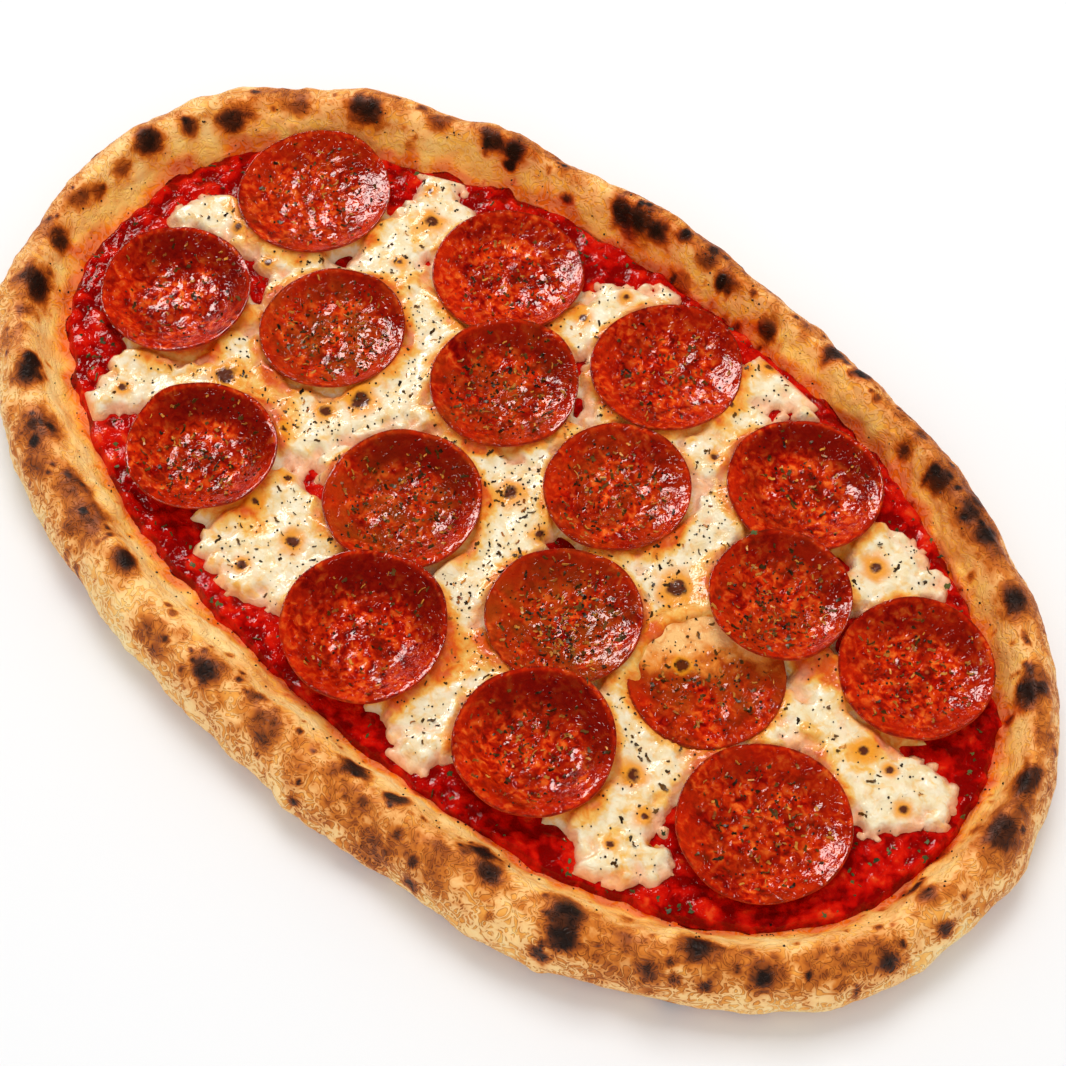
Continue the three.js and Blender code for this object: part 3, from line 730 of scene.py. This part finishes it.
def snap_edge(bm):
    """Moves the edge of the grid onto the edge of the cheese."""
    edge = list({v for e in bm.edges if e.is_boundary for v in e.verts})
    edge.sort(key=lambda vert: vert.co[:])
    places = np.array([v.co[:] for v in edge])
    for _ in range(3):
        x, y = places[:, 0], places[:, 1]
        depth = cheese_depth(x, y)
        step = 0.05
        gx = (cheese_depth(x + step, y) - depth) / step
        gy = (cheese_depth(x, y + step) - depth) / step
        steep = np.maximum(gx * gx + gy * gy, 0.3)
        move = np.clip(depth / steep, -0.5, 0.5)
        places[:, 0] -= move * gx
        places[:, 1] -= move * gy
    for vert, place in zip(edge, places.tolist()):
        vert.co = place


def make_cheese():
    bm = cheese_grid()
    snap_edge(bm)
    where = np.array([v.co[:] for v in bm.verts])
    x, y = where[:, 0], where[:, 1]
    inside = np.maximum(cheese_depth(x, y), 0)
    z = cheese_top(x, y, inside)
    move_all(bm, np.column_stack([x, y, z]))
    rim = [e for e in bm.edges if e.is_boundary]
    made = bmesh.ops.extrude_edge_only(bm, edges=rim)["geom"]
    for vert in [g for g in made if isinstance(g, bmesh.types.BMVert)]:
        vert.co.z = SAUCE_TOP - 0.6
    bottom = [g for g in made if isinstance(g, bmesh.types.BMEdge)]
    bmesh.ops.triangle_fill(bm, edges=bottom, use_beauty=False)
    cheese = finish_mesh("melted_cheese", bm, "cheese")
    paint_cheese(cheese.data)
    return cheese


def paint_oven_spots(mesh):
    """Brown spots of the cheese, each with a yellow ring."""
    places = places_of(mesh)
    brown = np.zeros(len(places))
    yellow = np.zeros(len(places))
    ragged = 1 + 0.3 * wobble(places, 2.5, 37)
    for hit, pixel, (core, halo) in marks_on(mesh, CHEESE_MARKS):
        off = np.linalg.norm(places - hit, axis=1) * ragged / pixel
        brown = np.maximum(brown, 1 - smooth(off / core, 0.3, 1.15))
        yellow = np.maximum(yellow, 1 - smooth(off / halo, 0.6, 1.5))
    paint(mesh, "brown", brown)
    paint(mesh, "yellow", yellow)


def paint_cheese(mesh):
    paint_oven_spots(mesh)
    places = places_of(mesh)
    x, y = places[:, 0], places[:, 1]
    depth = cheese_depth(x, y)
    clear = from_slices(x, y)
    thin = (1 - smooth(depth + 0.9 * wobble(places, 3, 38), 0.3, 2.8)) * smooth(clear, 0, 2)
    oily = (1 - smooth(clear + 2.2 * wobble(places, 6, 39), 0.2, 4.2)) * smooth(depth, 0.3, 1.5)
    stain = smooth(wobble(places, 15, 40, 2), 0.1, 0.6)
    oily *= 1 - 0.4 * film_share(x, y)
    paint(mesh, "thin", thin)
    paint(mesh, "oily", np.clip(0.75 * oily + 0.5 * stain, 0, 1))


# ---- Pepperoni ----
SLICE_STEPS = 168
SLICE_UNDER = np.array([0.0, 0.3, 0.6, 0.8, 0.9, 0.96, 1.0])
SLICE_BULGE = np.radians([-45, 0, 45])  # round the lip
SLICE_OVER = np.concatenate([[1.0, 0.985, 0.965, 0.94], np.linspace(0.91, 0.02, 40), [0.0]])
# From ring to ring: share of the radius, share of the way from the underside to the top, and bulge.
SLICE_SHARES = np.concatenate([SLICE_UNDER, np.ones(len(SLICE_BULGE)), SLICE_OVER])
SLICE_RISE = 0.5 + 0.5 * np.sin(SLICE_BULGE)
SLICE_UPPER = np.concatenate([0 * SLICE_UNDER, SLICE_RISE, np.ones(len(SLICE_OVER))])
SLICE_OUT = np.concatenate([0 * SLICE_UNDER, np.cos(SLICE_BULGE), 0 * SLICE_OVER])
LIP_BULGE = 0.25


def slice_waves(index, angle):
    """How each slice's rim strays from a true circle and an even height."""
    random = np.random.default_rng(300 + index)
    wide, high = 0 * angle, 0 * angle
    for count in (2, 3, 5, 9):
        phase = random.uniform(0, 2 * math.pi, 2)
        wide = wide + 0.02 / count * np.sin(count * angle + phase[0])
        high = high + 0.24 / count * np.sin(count * angle + phase[1])
    return 1 + wide, high


def slice_relief(places, share, index):
    """Greasy, lumpy meat: soft dimples, with small folds where it curls up."""
    dimples = 0.55 * wobble(places, 5.5, 50 + index) + 0.4 * wobble(places, 2.8, 70 + index)
    pimples = 0.25 * lumps(places, 3.2, 90 + index)
    smoother = (1 - 0.55 * smooth(share, 0.6, 0.85)) * (1 - smooth(share, 0.93, 1.0))
    return (dimples + pimples) * smoother


def painted_wall_shade(cup, share, angle):
    """Painted shade: how dark a deep cup's wall is made, most of all on its far side."""
    facing = 0.5 + 0.5 * np.cos(angle - FAR_SIDE)
    wall = smooth(share, 0.5, 0.72) * (1 - smooth(share, 0.93, 0.98))
    return smooth(cup, 2.0, 5.0) * wall * smooth(facing, 0.35, 0.9)


def slice_tone(index, places):
    """How brown the meat is, and how far the cheese has run over it."""
    tone = np.full(len(places), SLICE_BROWN[index])
    film = np.zeros(len(places))
    if index == FILM_SLICE:
        room = film_room(places[:, 0], places[:, 1])
        tone = np.maximum(tone, 0.9 * smooth(room, -12, -2))
        film = smooth(room + 2 * wobble(places, 5, 45), -4, 17)
    return tone, film


def make_slice(index):
    sx, sy, radius, _, cup = SLICES[index]
    bm, rings, angles = turned_blank(len(SLICE_SHARES), SLICE_STEPS)
    shares = SLICE_SHARES[rings]
    upper = SLICE_UPPER[rings]
    bulge = SLICE_OUT[rings]
    wide, high = slice_waves(index, angles)
    reach = radius * shares * (1 + (wide - 1) * shares) + LIP_BULGE * bulge
    x = sx + reach * np.cos(angles)
    y = sy + reach * np.sin(angles)
    thick = SLICE_THICKNESS + (SLICE_LIP - SLICE_THICKNESS) * shares**2
    z = underside(index, x, y) + cup * high * shares**8 + upper * thick
    places = np.column_stack([x, y, z])
    places[:, 2] += upper * slice_relief(places, shares, index)
    if index == FILM_SLICE:
        places[:, 2] += upper * FILM_RISE * smooth(film_room(x, y), 0, 12)
    move_all(bm, places)
    keep_values(bm, "share", shares + 0.02 * bulge)
    # Where the material paints a lighter orange glow on the outer wall and underside.
    keep_values(bm, "outside", 1 - upper)
    # Where the material paints shade on the cup's wall.
    keep_values(bm, "painted_shade", upper * painted_wall_shade(cup, shares, angles))
    name = "pepperoni_%02d" % (index + 1)
    piece = finish_mesh(name + "_slice", bm, name)
    tone, film = slice_tone(index, places_of(piece.data))
    paint(piece.data, "tone", tone)
    paint(piece.data, "film", film)
    if index == FILM_SLICE:
        paint_oven_spots(piece.data)
    return piece


# ---- Dried herbs and pepper ----
CHIP_LIFT = 0.12  # how far the middle of a chip lies above what carries it

# Kinds of flake: length, width, thickness, curl.
HERB_FLAKES = [(1.3, 0.8, 0.16, 0.5), (1.0, 0.7, 0.18, -0.4), (1.8, 0.6, 0.16, 0.8)]
GOLD_FLAKES = [(1.5, 0.6, 0.16, 1.1), (1.0, 0.6, 0.16, 0.8), (2.2, 0.45, 0.16, -1.0)]
GREEN_FLAKES = [(1.7, 1.1, 0.14, 0.4), (1.3, 0.9, 0.14, -0.3)]
PEPPER_GRAINS = [(0.62,), (0.45,)]

# How many lie outside the slices.
HERB_ON_CHEESE = 230
GOLD_ON_CHEESE = 60
PEPPER_ON_CHEESE = 1000
PEPPER_ON_RIM = 330
PEPPER_ON_SAUCE = 60
GREEN_ON_SAUCE = 170
TRIES = 4000  # places tried at a time


def chip_blank(length, width, thickness, curl):
    """One bent flake, a millimetre-sized strip."""
    bm = bmesh.new()
    bmesh.ops.create_grid(bm, x_segments=3, y_segments=1, size=0.5)
    for vert in bm.verts:
        ragged = 0.2 * math.sin(9 * vert.co.x + 5 * vert.co.y)
        vert.co.z = curl * (vert.co.x**2 + 0.3 * vert.co.x)
        vert.co.x = length * vert.co.x
        vert.co.y = width * (vert.co.y + ragged) * (1 - 0.5 * abs(vert.co.x / length))
    bmesh.ops.solidify(bm, geom=bm.faces[:], thickness=thickness)
    bmesh.ops.recalc_face_normals(bm, faces=bm.faces)
    return bm


def grain_blank(size):
    """One cracked peppercorn grain."""
    bm = bmesh.new()
    bmesh.ops.create_icosphere(bm, subdivisions=1, radius=size / 2)
    for vert in bm.verts:
        vert.co *= 0.8 + 0.35 * noise.noise(vert.co * 9)
        vert.co.z *= 0.7
    return bm


def blank_arrays(bm):
    bmesh.ops.triangulate(bm, faces=bm.faces)
    bm.verts.index_update()
    places = np.array([v.co[:] for v in bm.verts])
    faces = np.array([[v.index for v in f.verts] for f in bm.faces])
    bm.free()
    return places, faces


def scatter(name, make_blank, kinds, spots, random, sizes, tilt=0.5):
    """One mesh of many small chips: each kind of blank in turn, set down at the next spot."""
    places, faces, shades = [], [], []
    offset = 0
    arrays = [blank_arrays(make_blank(*kind)) for kind in kinds]
    for number, (hit, upward) in enumerate(spots):
        shape, triangles = arrays[number % len(arrays)]
        up = (upward + Vector(random.normal(0, tilt, 3))).normalized()
        spin = Matrix.Rotation(random.uniform(0, math.tau), 3, "Z")
        turn = up.to_track_quat("Z", "Y").to_matrix() @ spin
        size = random.uniform(*sizes)
        places.append(size * shape @ np.array(turn).T + np.array(hit + upward * CHIP_LIFT))
        faces.append(triangles + offset)
        shades.append(np.full(len(shape), random.uniform()))
        offset += len(shape)
    mesh = bpy.data.meshes.new(name)
    mesh.from_pydata(np.concatenate(places).tolist(), [], np.concatenate(faces).tolist())
    mesh.update()
    paint(mesh, "shade", np.concatenate(shades))
    return dress(name, mesh)


class Ground:
    """What lies uppermost at a place: the pieces that carry the herbs, read from above."""

    def __init__(self, slices, others):
        view = bpy.context.evaluated_depsgraph_get()
        self.slices = [BVHTree.FromObject(piece, view) for piece in slices]
        self.others = [BVHTree.FromObject(piece, view) for piece in others]

    def at(self, x, y):
        trees = list(self.others)
        for index, (sx, sy, radius, _, _) in enumerate(SLICES):
            if math.hypot(x - sx, y - sy) < radius + 1:
                trees.append(self.slices[index])
        best = None
        for tree in trees:
            hit, upward, _, _ = tree.ray_cast(Vector((x, y, 60)), Vector((0, 0, -1)))
            if hit is not None and (best is None or hit.z > best[0].z):
                best = (hit, upward)
        return best


def spots_in_slice(ground, random, index, count):
    """Spots on one slice. Herbs gather towards the middle of each cup."""
    sx, sy, radius = SLICES[index][:3]
    spots = []
    while len(spots) < count:
        reach = radius * 0.93 * random.beta(2.0, 1.6)
        angle = random.uniform(0, 2 * math.pi)
        found = ground.at(sx + reach * math.cos(angle), sy + reach * math.sin(angle))
        if found:
            spots.append(found)
    return spots


def spots_where(ground, random, count, chance):
    """Spots over the whole pizza, kept as often as chance(x, y) says."""
    spots = []
    while len(spots) < count:
        x = random.uniform(-HALF_LENGTH, HALF_LENGTH, TRIES)
        y = random.uniform(-HALF_WIDTH, HALF_WIDTH, TRIES)
        wanted = random.uniform(0, 1, TRIES) < chance(x, y)
        for px, py in zip(x[wanted], y[wanted]):
            found = ground.at(px, py)
            if found:
                spots.append(found)
            if len(spots) >= count:
                break
    return spots


def on_cheese(x, y):
    """The chance that a chip stays where it fell, on open cheese."""
    open_cheese = (inside_cheese(x, y) > 1.5) & (from_slices(x, y) > 0.3) & (room_inside(x, y) > 1)
    return np.where(open_cheese, 0.25 + 0.75 * drift(x, y), 0)


def on_sauce(x, y):
    """The same, on bare sauce."""
    bare = (inside_cheese(x, y) < 0) & (from_slices(x, y) > 0) & (room_inside(x, y) > 0)
    return np.where(bare, 1.0, 0)


def on_rim(x, y):
    """The same, on the rim, most of all beside the sauce."""
    room = room_inside(x, y)
    return np.where((room < 0) & (room > -9), 0.4 + 0.6 * np.exp(room / 4), 0)


def drift(x, y):
    """Where the herbs fell thickest: in patches, most of all around the middle."""
    middle = np.exp(-(((x - 5) / 75) ** 2) - ((y / 55) ** 2))
    patches = np.clip(0.35 + 0.9 * middle + 0.9 * wobble(on_plan(x, y), 13, 60), 0, 1)
    return patches * np.clip(middle + 0.25, 0, 1)


def make_herbs(ground):
    """The four scattered pieces, each one mesh of many small chips."""
    random = np.random.default_rng(5)
    herb, gold, pepper = [], [], []
    for index, count in enumerate(SLICE_HERBS):
        for number, spot in enumerate(spots_in_slice(ground, random, index, count)):
            (herb, gold, pepper, pepper)[number % 4].append(spot)
    herb += spots_where(ground, random, HERB_ON_CHEESE, on_cheese)
    gold += spots_where(ground, random, GOLD_ON_CHEESE, on_cheese)
    pepper += spots_where(ground, random, PEPPER_ON_CHEESE, on_cheese)
    pepper += spots_where(ground, random, PEPPER_ON_RIM, on_rim)
    pepper += spots_where(ground, random, PEPPER_ON_SAUCE, on_sauce)
    green = spots_where(ground, random, GREEN_ON_SAUCE, on_sauce)
    return [
        scatter("dried_herb", chip_blank, HERB_FLAKES, herb, random, (0.6, 1.35)),
        scatter("golden_flakes", chip_blank, GOLD_FLAKES, gold, random, (0.6, 1.3)),
        scatter("green_flakes", chip_blank, GREEN_FLAKES, green, random, (0.6, 1.25)),
        scatter("black_pepper", grain_blank, PEPPER_GRAINS, pepper, random, (0.6, 1.5)),
    ]


# ---- Materials ----
def tint(*seen):
    """A colour as seen on a screen, red, green and blue from 0 to 255, as the light that makes it."""
    shares = [value / 255 for value in seen]
    return (*(s / 12.92 if s <= 0.04045 else ((s + 0.055) / 1.055) ** 2.4 for s in shares), 1)


class Recipe:
    """Short-hand for putting a material's nodes together. Sizes are in mm."""

    def __init__(self, name):
        self.material = bpy.data.materials.new(name)
        self.material.use_nodes = True
        self.tree = self.material.node_tree
        self.shader = self.tree.nodes["Principled BSDF"]
        self.coords = self.add("ShaderNodeTexCoord").outputs["Object"]

    def add(self, kind, **settings):
        node = self.tree.nodes.new(kind)
        for key, value in settings.items():
            setattr(node, key, value)
        return node

    def feed(self, socket, value):
        if isinstance(value, bpy.types.NodeSocket):
            self.tree.links.new(value, socket)
        else:
            socket.default_value = value

    def carried(self, name):
        """A number that the mesh carries for each vertex."""
        return self.add("ShaderNodeAttribute", attribute_name=name).outputs["Fac"]

    def grain(self, size, detail=2.0, distortion=0.0):
        """Soft noise about 0.5; size is that of a grain."""
        node = self.add("ShaderNodeTexNoise")
        self.feed(node.inputs["Vector"], self.coords)
        self.feed(node.inputs["Scale"], 1000 / size)
        self.feed(node.inputs["Detail"], detail)
        self.feed(node.inputs["Distortion"], distortion)
        return node.outputs["Fac"]

    def cells(self, size):
        """Distance to the nearest of many scattered points, as a share of the size of a cell."""
        node = self.add("ShaderNodeTexVoronoi")
        self.feed(node.inputs["Vector"], self.coords)
        self.feed(node.inputs["Scale"], 1000 / size)
        return node.outputs["Distance"]

    def wrinkle(self, size, width):
        """Curly rounded ridges, 1 along each ridge and 0 between them."""
        off = self.work("SUBTRACT", self.grain(size, 1, 1.6), 0.5)
        return self.span(self.times(off, off), 0, width * width, 1, 0, "SMOOTHERSTEP")

    def span(self, value, low, high, to_low=0.0, to_high=1.0, curve="LINEAR"):
        """The value's stretch from low to high, laid over to_low to to_high."""
        node = self.add("ShaderNodeMapRange", clamp=True, interpolation_type=curve)
        names = ("Value", "From Min", "From Max", "To Min", "To Max")
        for name, amount in zip(names, (value, low, high, to_low, to_high)):
            self.feed(node.inputs[name], amount)
        return node.outputs["Result"]

    def work(self, op, a, b, clamp=False):
        node = self.add("ShaderNodeMath", operation=op, use_clamp=clamp)
        self.feed(node.inputs[0], a)
        self.feed(node.inputs[1], b)
        return node.outputs[0]

    def plus(self, a, b, clamp=False):
        return self.work("ADD", a, b, clamp)

    def times(self, a, b, clamp=False):
        return self.work("MULTIPLY", a, b, clamp)

    def mix(self, share, a, b, blend="MIX"):
        """Colour a with a share of colour b over it."""
        node = self.add("ShaderNodeMix", data_type="RGBA", blend_type=blend)
        self.feed(node.inputs["Factor"], share)
        self.feed(node.inputs[6], a)
        self.feed(node.inputs[7], b)
        return node.outputs[2]

    def stained(self, colour, stain):
        return self.mix(1.0, colour, stain, "MULTIPLY")

    def ramp(self, value, *stops):
        """Colours along a value: each stop is a place, then red, green and blue as seen."""
        node = self.add("ShaderNodeValToRGB")
        self.feed(node.inputs["Fac"], value)
        marks = node.color_ramp.elements
        while len(marks) < len(stops):
            marks.new(0.5)
        for mark, (place, *seen) in zip(marks, stops):
            mark.position = place
            mark.color = tint(*seen)
        return node.outputs["Color"]

    def oven_spots(self, colour):
        """Brown spots with yellow rings, over the colour of melted cheese."""
        colour = self.mix(self.times(self.carried("yellow"), 0.95), colour, tint(234, 148, 28))
        ragged = self.span(self.grain(1.4, 2), 0.3, 0.7, 0.6, 1.3)
        core = self.times(self.carried("brown"), ragged, clamp=True)
        return self.mix(self.span(core, 0.15, 0.7), colour, tint(92, 38, 12))

    def bump(self, *layers, socket="Normal"):
        """Relief from (height, depth) pairs, one over another."""
        normal = None
        for height, depth in layers:
            node = self.add("ShaderNodeBump")
            self.feed(node.inputs["Height"], height)
            self.feed(node.inputs["Distance"], depth / 1000)
            self.feed(node.inputs["Strength"], 1.0)
            if normal:
                self.feed(node.inputs["Normal"], normal)
            normal = node.outputs["Normal"]
        self.feed(self.shader.inputs[socket], normal)

    def oil(self, weight, roughness, curls, grain):
        """A film of oil over the surface. Its own small relief breaks up the glints."""
        self.shader.inputs["Coat Weight"].default_value = weight
        self.shader.inputs["Coat Roughness"].default_value = roughness
        self.bump(curls, grain, socket="Coat Normal")

    def finish(self, colour, roughness, gloss):
        self.feed(self.shader.inputs["Base Color"], colour)
        self.feed(self.shader.inputs["Roughness"], roughness)
        self.shader.inputs["Specular IOR Level"].default_value = gloss
        return self.material


def crust_finish():
    """Cream dough, toasted to brown and char, with curly wrinkles and orange oil near the sauce. The
    tops of the wrinkles are paler and creamier, partly their own colour and partly painted highlight.
    """
    r = Recipe("baked_crust")
    fine = r.grain(3.2, 3, 0.4)
    wrinkle = r.times(r.wrinkle(3.0, 0.14), r.span(r.carried("across"), -0.3, 0.6, 1.0, 0.35))
    toast = r.plus(r.carried("toast"), r.span(fine, 0.25, 0.75, -0.13, 0.13))
    # The wrinkles' tops are less toasted, partly as painted highlight, with a browner line round
    # each.
    toast = r.plus(toast, r.times(wrinkle, r.span(wrinkle, 0, 1, 0.36, -0.12)))
    toast = r.plus(toast, r.span(r.carried("freckles"), 0, 1, 0, 0.5))
    colour = r.ramp(
        toast,
        (0.0, 255, 224, 156), (0.2, 254, 196, 106), (0.36, 240, 160, 66), (0.5, 208, 116, 34),
        (0.64, 156, 74, 17), (0.8, 84, 38, 13), (1.0, 38, 22, 15),
    )
    oil = r.ramp(
        r.carried("stain"),
        (0.0, 255, 255, 255), (0.45, 255, 226, 150), (0.8, 252, 176, 70), (1.0, 238, 122, 24),
    )
    colour = r.stained(colour, oil)
    # Paler cream on the wrinkles' tops: partly the dough's own colour, partly a painted highlight.
    pale = r.times(wrinkle, r.span(toast, 0.3, 0.5, 0.4, 0.0))
    colour = r.mix(pale, colour, tint(255, 226, 176))
    r.bump((wrinkle, 0.3), (fine, 0.35))
    return r.finish(colour, r.span(fine, 0.3, 0.7, 0.45, 0.6), gloss=0.2)


def sauce_finish():
    """Colour by height, as painted shade: deep red in the hollows, brighter and more orange on the
    lumps, under a film of oil.
    """
    r = Recipe("tomato_sauce")
    pulp = r.span(r.grain(3.4, 2, 0.8), 0.3, 0.7, -0.22, 0.22)
    # Painted shade: the lower the sauce lies between its lumps, the darker its red.
    height = r.plus(r.span(r.carried("lump"), 0.1, 1.7, 0.05, 0.8), pulp)
    colour = r.ramp(
        height,
        (0.1, 126, 1, 0), (0.35, 182, 7, 2), (0.6, 208, 24, 6), (0.9, 228, 84, 32),
    )
    r.bump((r.grain(1.7, 2, 0.9), 0.6))
    r.oil(0.5, 0.05, (r.wrinkle(3.0, 0.15), 0.1), (r.grain(2.2, 1, 0.9), 0.2))
    return r.finish(colour, 0.5, gloss=0.0)


def cheese_finish():
    """Cream white, stained by oil beside the slices, thin and pink at its edges, with oven spots."""
    r = Recipe("melted_cheese")
    soft = r.grain(3.2, 3, 0.4)
    white = r.mix(r.span(soft, 0.3, 0.7), tint(230, 204, 150), tint(242, 233, 204))
    oily = r.plus(r.carried("oily"), r.span(r.grain(2.2, 3, 0.6), 0.25, 0.75, -0.3, 0.3), clamp=True)
    stain = r.ramp(
        oily,
        (0.0, 255, 255, 255), (0.35, 254, 212, 130), (0.7, 248, 156, 48), (1.0, 230, 96, 14),
    )
    colour = r.stained(white, stain)
    thin = r.plus(r.carried("thin"), r.span(r.grain(2.5, 2, 0.5), 0.25, 0.75, -0.2, 0.2), clamp=True)
    colour = r.mix(r.times(thin, 0.8), colour, tint(246, 176, 132))
    colour = r.oven_spots(colour)
    r.bump((r.grain(2.0, 1, 0.8), 0.35), (soft, 0.3))
    r.oil(0.7, 0.05, (r.wrinkle(3.6, 0.16), 0.08), (r.grain(2.4, 1, 0.8), 0.16))
    return r.finish(colour, 0.4, gloss=0.2)


def meat_colour(r):
    """Mottled red meat with soft dark patches and small flecks of fat."""
    colour = r.ramp(
        r.grain(1.9, 3, 0.5),
        (0.28, 96, 0, 0), (0.42, 164, 9, 0), (0.54, 208, 44, 3), (0.7, 240, 108, 34),
    )
    patches = r.ramp(r.grain(7.5, 2, 0.7), (0.36, 186, 120, 110), (0.58, 255, 255, 255))
    colour = r.stained(colour, patches)
    flecks = r.times(r.span(r.cells(2.4), 0.1, 0.26, 1, 0), r.span(r.grain(5, 2), 0.45, 0.65))
    return r.mix(r.times(flecks, 0.45), colour, tint(232, 120, 64))


def cooked_colour(r, colour):
    """Browned meat, redder and darker walls, painted shade on the far wall of a deep cup, a scorched
    rim, and a painted glow: the outside lighter orange.
    """
    browned = r.times(r.carried("tone"), r.span(r.grain(6.5, 3, 0.4), 0.35, 0.65, 0.0, 1.2))
    colour = r.mix(r.times(browned, 0.85, clamp=True), colour, tint(144, 56, 8))
    share = r.carried("share")
    wall = r.times(r.span(share, 0.6, 0.85), r.span(r.grain(9, 1), 0.35, 0.6))
    colour = r.mix(r.times(wall, 0.5), colour, tint(196, 34, 2))
    # Painted shade: the far wall of each deep cup darkened to deep red.
    colour = r.mix(r.times(r.carried("painted_shade"), 0.8), colour, tint(96, 2, 0))
    scorch = r.times(r.span(share, 0.975, 1.0), r.span(r.grain(2.0, 2), 0.3, 0.6))
    colour = r.mix(r.times(scorch, 0.8), colour, tint(90, 20, 8))
    # Painted light: the outer wall and underside turned a lighter orange, as lit, thin meat would
    # glow.
    return r.mix(r.times(r.carried("outside"), 0.8), colour, tint(226, 60, 12))


def filmed_colour(r, colour):
    """The cheese that has run over a slice: thin and brown at its front, creamy further back."""
    film = r.times(r.carried("film"), r.span(r.grain(3.0, 3, 0.6), 0.3, 0.7, 0.65, 1.35), clamp=True)
    milky = r.ramp(
        film,
        (0.0, 120, 26, 3), (0.3, 168, 62, 10), (0.6, 222, 128, 46), (1.0, 244, 190, 120),
    )
    return r.oven_spots(r.mix(r.span(film, 0.04, 0.4), colour, milky))


def pepperoni_finish(name, filmed=False):
    """Cured meat, glossy with oil. A filmed slice also shows the cheese that has run over it."""
    r = Recipe(name)
    colour = cooked_colour(r, meat_colour(r))
    if filmed:
        colour = filmed_colour(r, colour)
    r.bump((r.grain(1.7, 2, 0.8), 0.5))
    r.oil(0.9, 0.04, (r.wrinkle(3.0, 0.15), 0.12), (r.grain(2.4, 1, 0.9), 0.2))
    return r.finish(colour, 0.5, gloss=0.0)


def flake_finish(name, dark, light, roughness):
    """Each flake has a shade of its own between two colours."""
    r = Recipe(name)
    shade = r.plus(r.carried("shade"), r.span(r.grain(0.6, 2), 0.3, 0.7, -0.2, 0.2), clamp=True)
    r.bump((r.grain(0.5, 2), 0.06))
    return r.finish(r.mix(shade, dark, light), roughness, gloss=0.3)


def floor_finish():
    return Recipe("pale_floor").finish(tint(234, 234, 234), 0.9, gloss=0.0)


def cover(pieces, material):
    for piece in pieces:
        piece.data.materials.clear()
        piece.data.materials.append(material)


# ---- Floor and light ----
FLOOR_HALF = 4  # metres
STUDIO_GLOW = 0.7  # even light from all round
STUDIO_SHEEN = 0.04  # how bright that light looks in a gloss

# Each lamp: the way to it, its distance and sides in metres, its brightness and its colour.
# The window is there for the glints alone, and the others for the soft light and shade.
GLINT_LAMPS = {
    "window": ((-0.77, 0.15, 0.62), 1.6, (0.72, 0.62), 15.0, (1.0, 0.93, 0.88)),
}
SOFT_LAMPS = {
    "key": ((-0.26, 0.26, 0.93), 1.2, (0.6, 0.6), 6.8, (1.0, 1.0, 1.0)),
    "fill": ((0.50, -0.50, 0.75), 1.4, (0.8, 0.8), 1.2, (1.0, 1.0, 1.0)),
}


def make_floor():
    bm = bmesh.new()
    bmesh.ops.create_grid(bm, x_segments=1, y_segments=1, size=FLOOR_HALF)
    mesh = bpy.data.meshes.new("floor")
    bm.to_mesh(mesh)
    bm.free()
    floor = bpy.data.objects.new("floor", mesh)
    bpy.context.scene.collection.objects.link(floor)
    return floor


def soft_box(name, heading, distance, sides, radiance, colour):
    """A glowing panel that faces the pizza from a heading."""
    data = bpy.data.lights.new(name, "AREA")
    data.shape = "RECTANGLE"
    data.size, data.size_y = sides
    data.energy = radiance * math.pi * sides[0] * sides[1]
    data.color = colour
    lamp = bpy.data.objects.new(name, data)
    bpy.context.scene.collection.objects.link(lamp)
    away = Vector(heading).normalized()
    lamp.location = away * distance
    lamp.rotation_euler = away.to_track_quat("Z", "Y").to_euler()
    return lamp


def studio_world():
    """Even white light from all round, which is much fainter in a gloss."""
    world = bpy.data.worlds.new("studio")
    world.use_nodes = True
    tree = world.node_tree
    background = tree.nodes["Background"]
    background.inputs["Color"].default_value = (1, 1, 1, 1)
    path = tree.nodes.new("ShaderNodeLightPath")
    strength = tree.nodes.new("ShaderNodeMapRange")
    strength.inputs["To Min"].default_value = STUDIO_GLOW
    strength.inputs["To Max"].default_value = STUDIO_SHEEN
    tree.links.new(path.outputs["Is Glossy Ray"], strength.inputs["Value"])
    tree.links.new(strength.outputs["Result"], background.inputs["Strength"])
    bpy.context.scene.world = world


def light_scene():
    studio_world()
    for name, lamp in GLINT_LAMPS.items():
        soft_box(name, *lamp).visible_diffuse = False
    for name, lamp in SOFT_LAMPS.items():
        soft_box(name, *lamp).visible_glossy = False
    bpy.context.scene.view_settings.view_transform = "Standard"
    bpy.context.scene.view_settings.look = "None"


# ---- The pizza ----
make_camera()
crust = make_crust()
sauce = make_sauce()
cheese = make_cheese()
slices = [make_slice(index) for index in range(len(SLICES))]
ground = Ground(slices, [crust, sauce, cheese])
herb, gold, green, pepper = make_herbs(ground)
for piece in [crust, sauce, cheese, herb, gold, green, pepper, *slices]:
    to_metres(piece.data)

cover([crust], crust_finish())
cover([sauce], sauce_finish())
cover([cheese], cheese_finish())
cover(slices, pepperoni_finish("pepperoni"))
cover([slices[FILM_SLICE]], pepperoni_finish("pepperoni_under_cheese", filmed=True))
cover([herb], flake_finish("dried_herb", tint(26, 14, 4), tint(104, 66, 16), 0.35))
cover([gold], flake_finish("golden_flakes", tint(120, 50, 8), tint(214, 140, 52), 0.3))
cover([green], flake_finish("green_flakes", tint(36, 52, 22), tint(92, 104, 52), 0.5))
cover([pepper], flake_finish("black_pepper", tint(14, 12, 10), tint(58, 40, 24), 0.4))

floor = make_floor()
cover([floor], floor_finish())
light_scene()
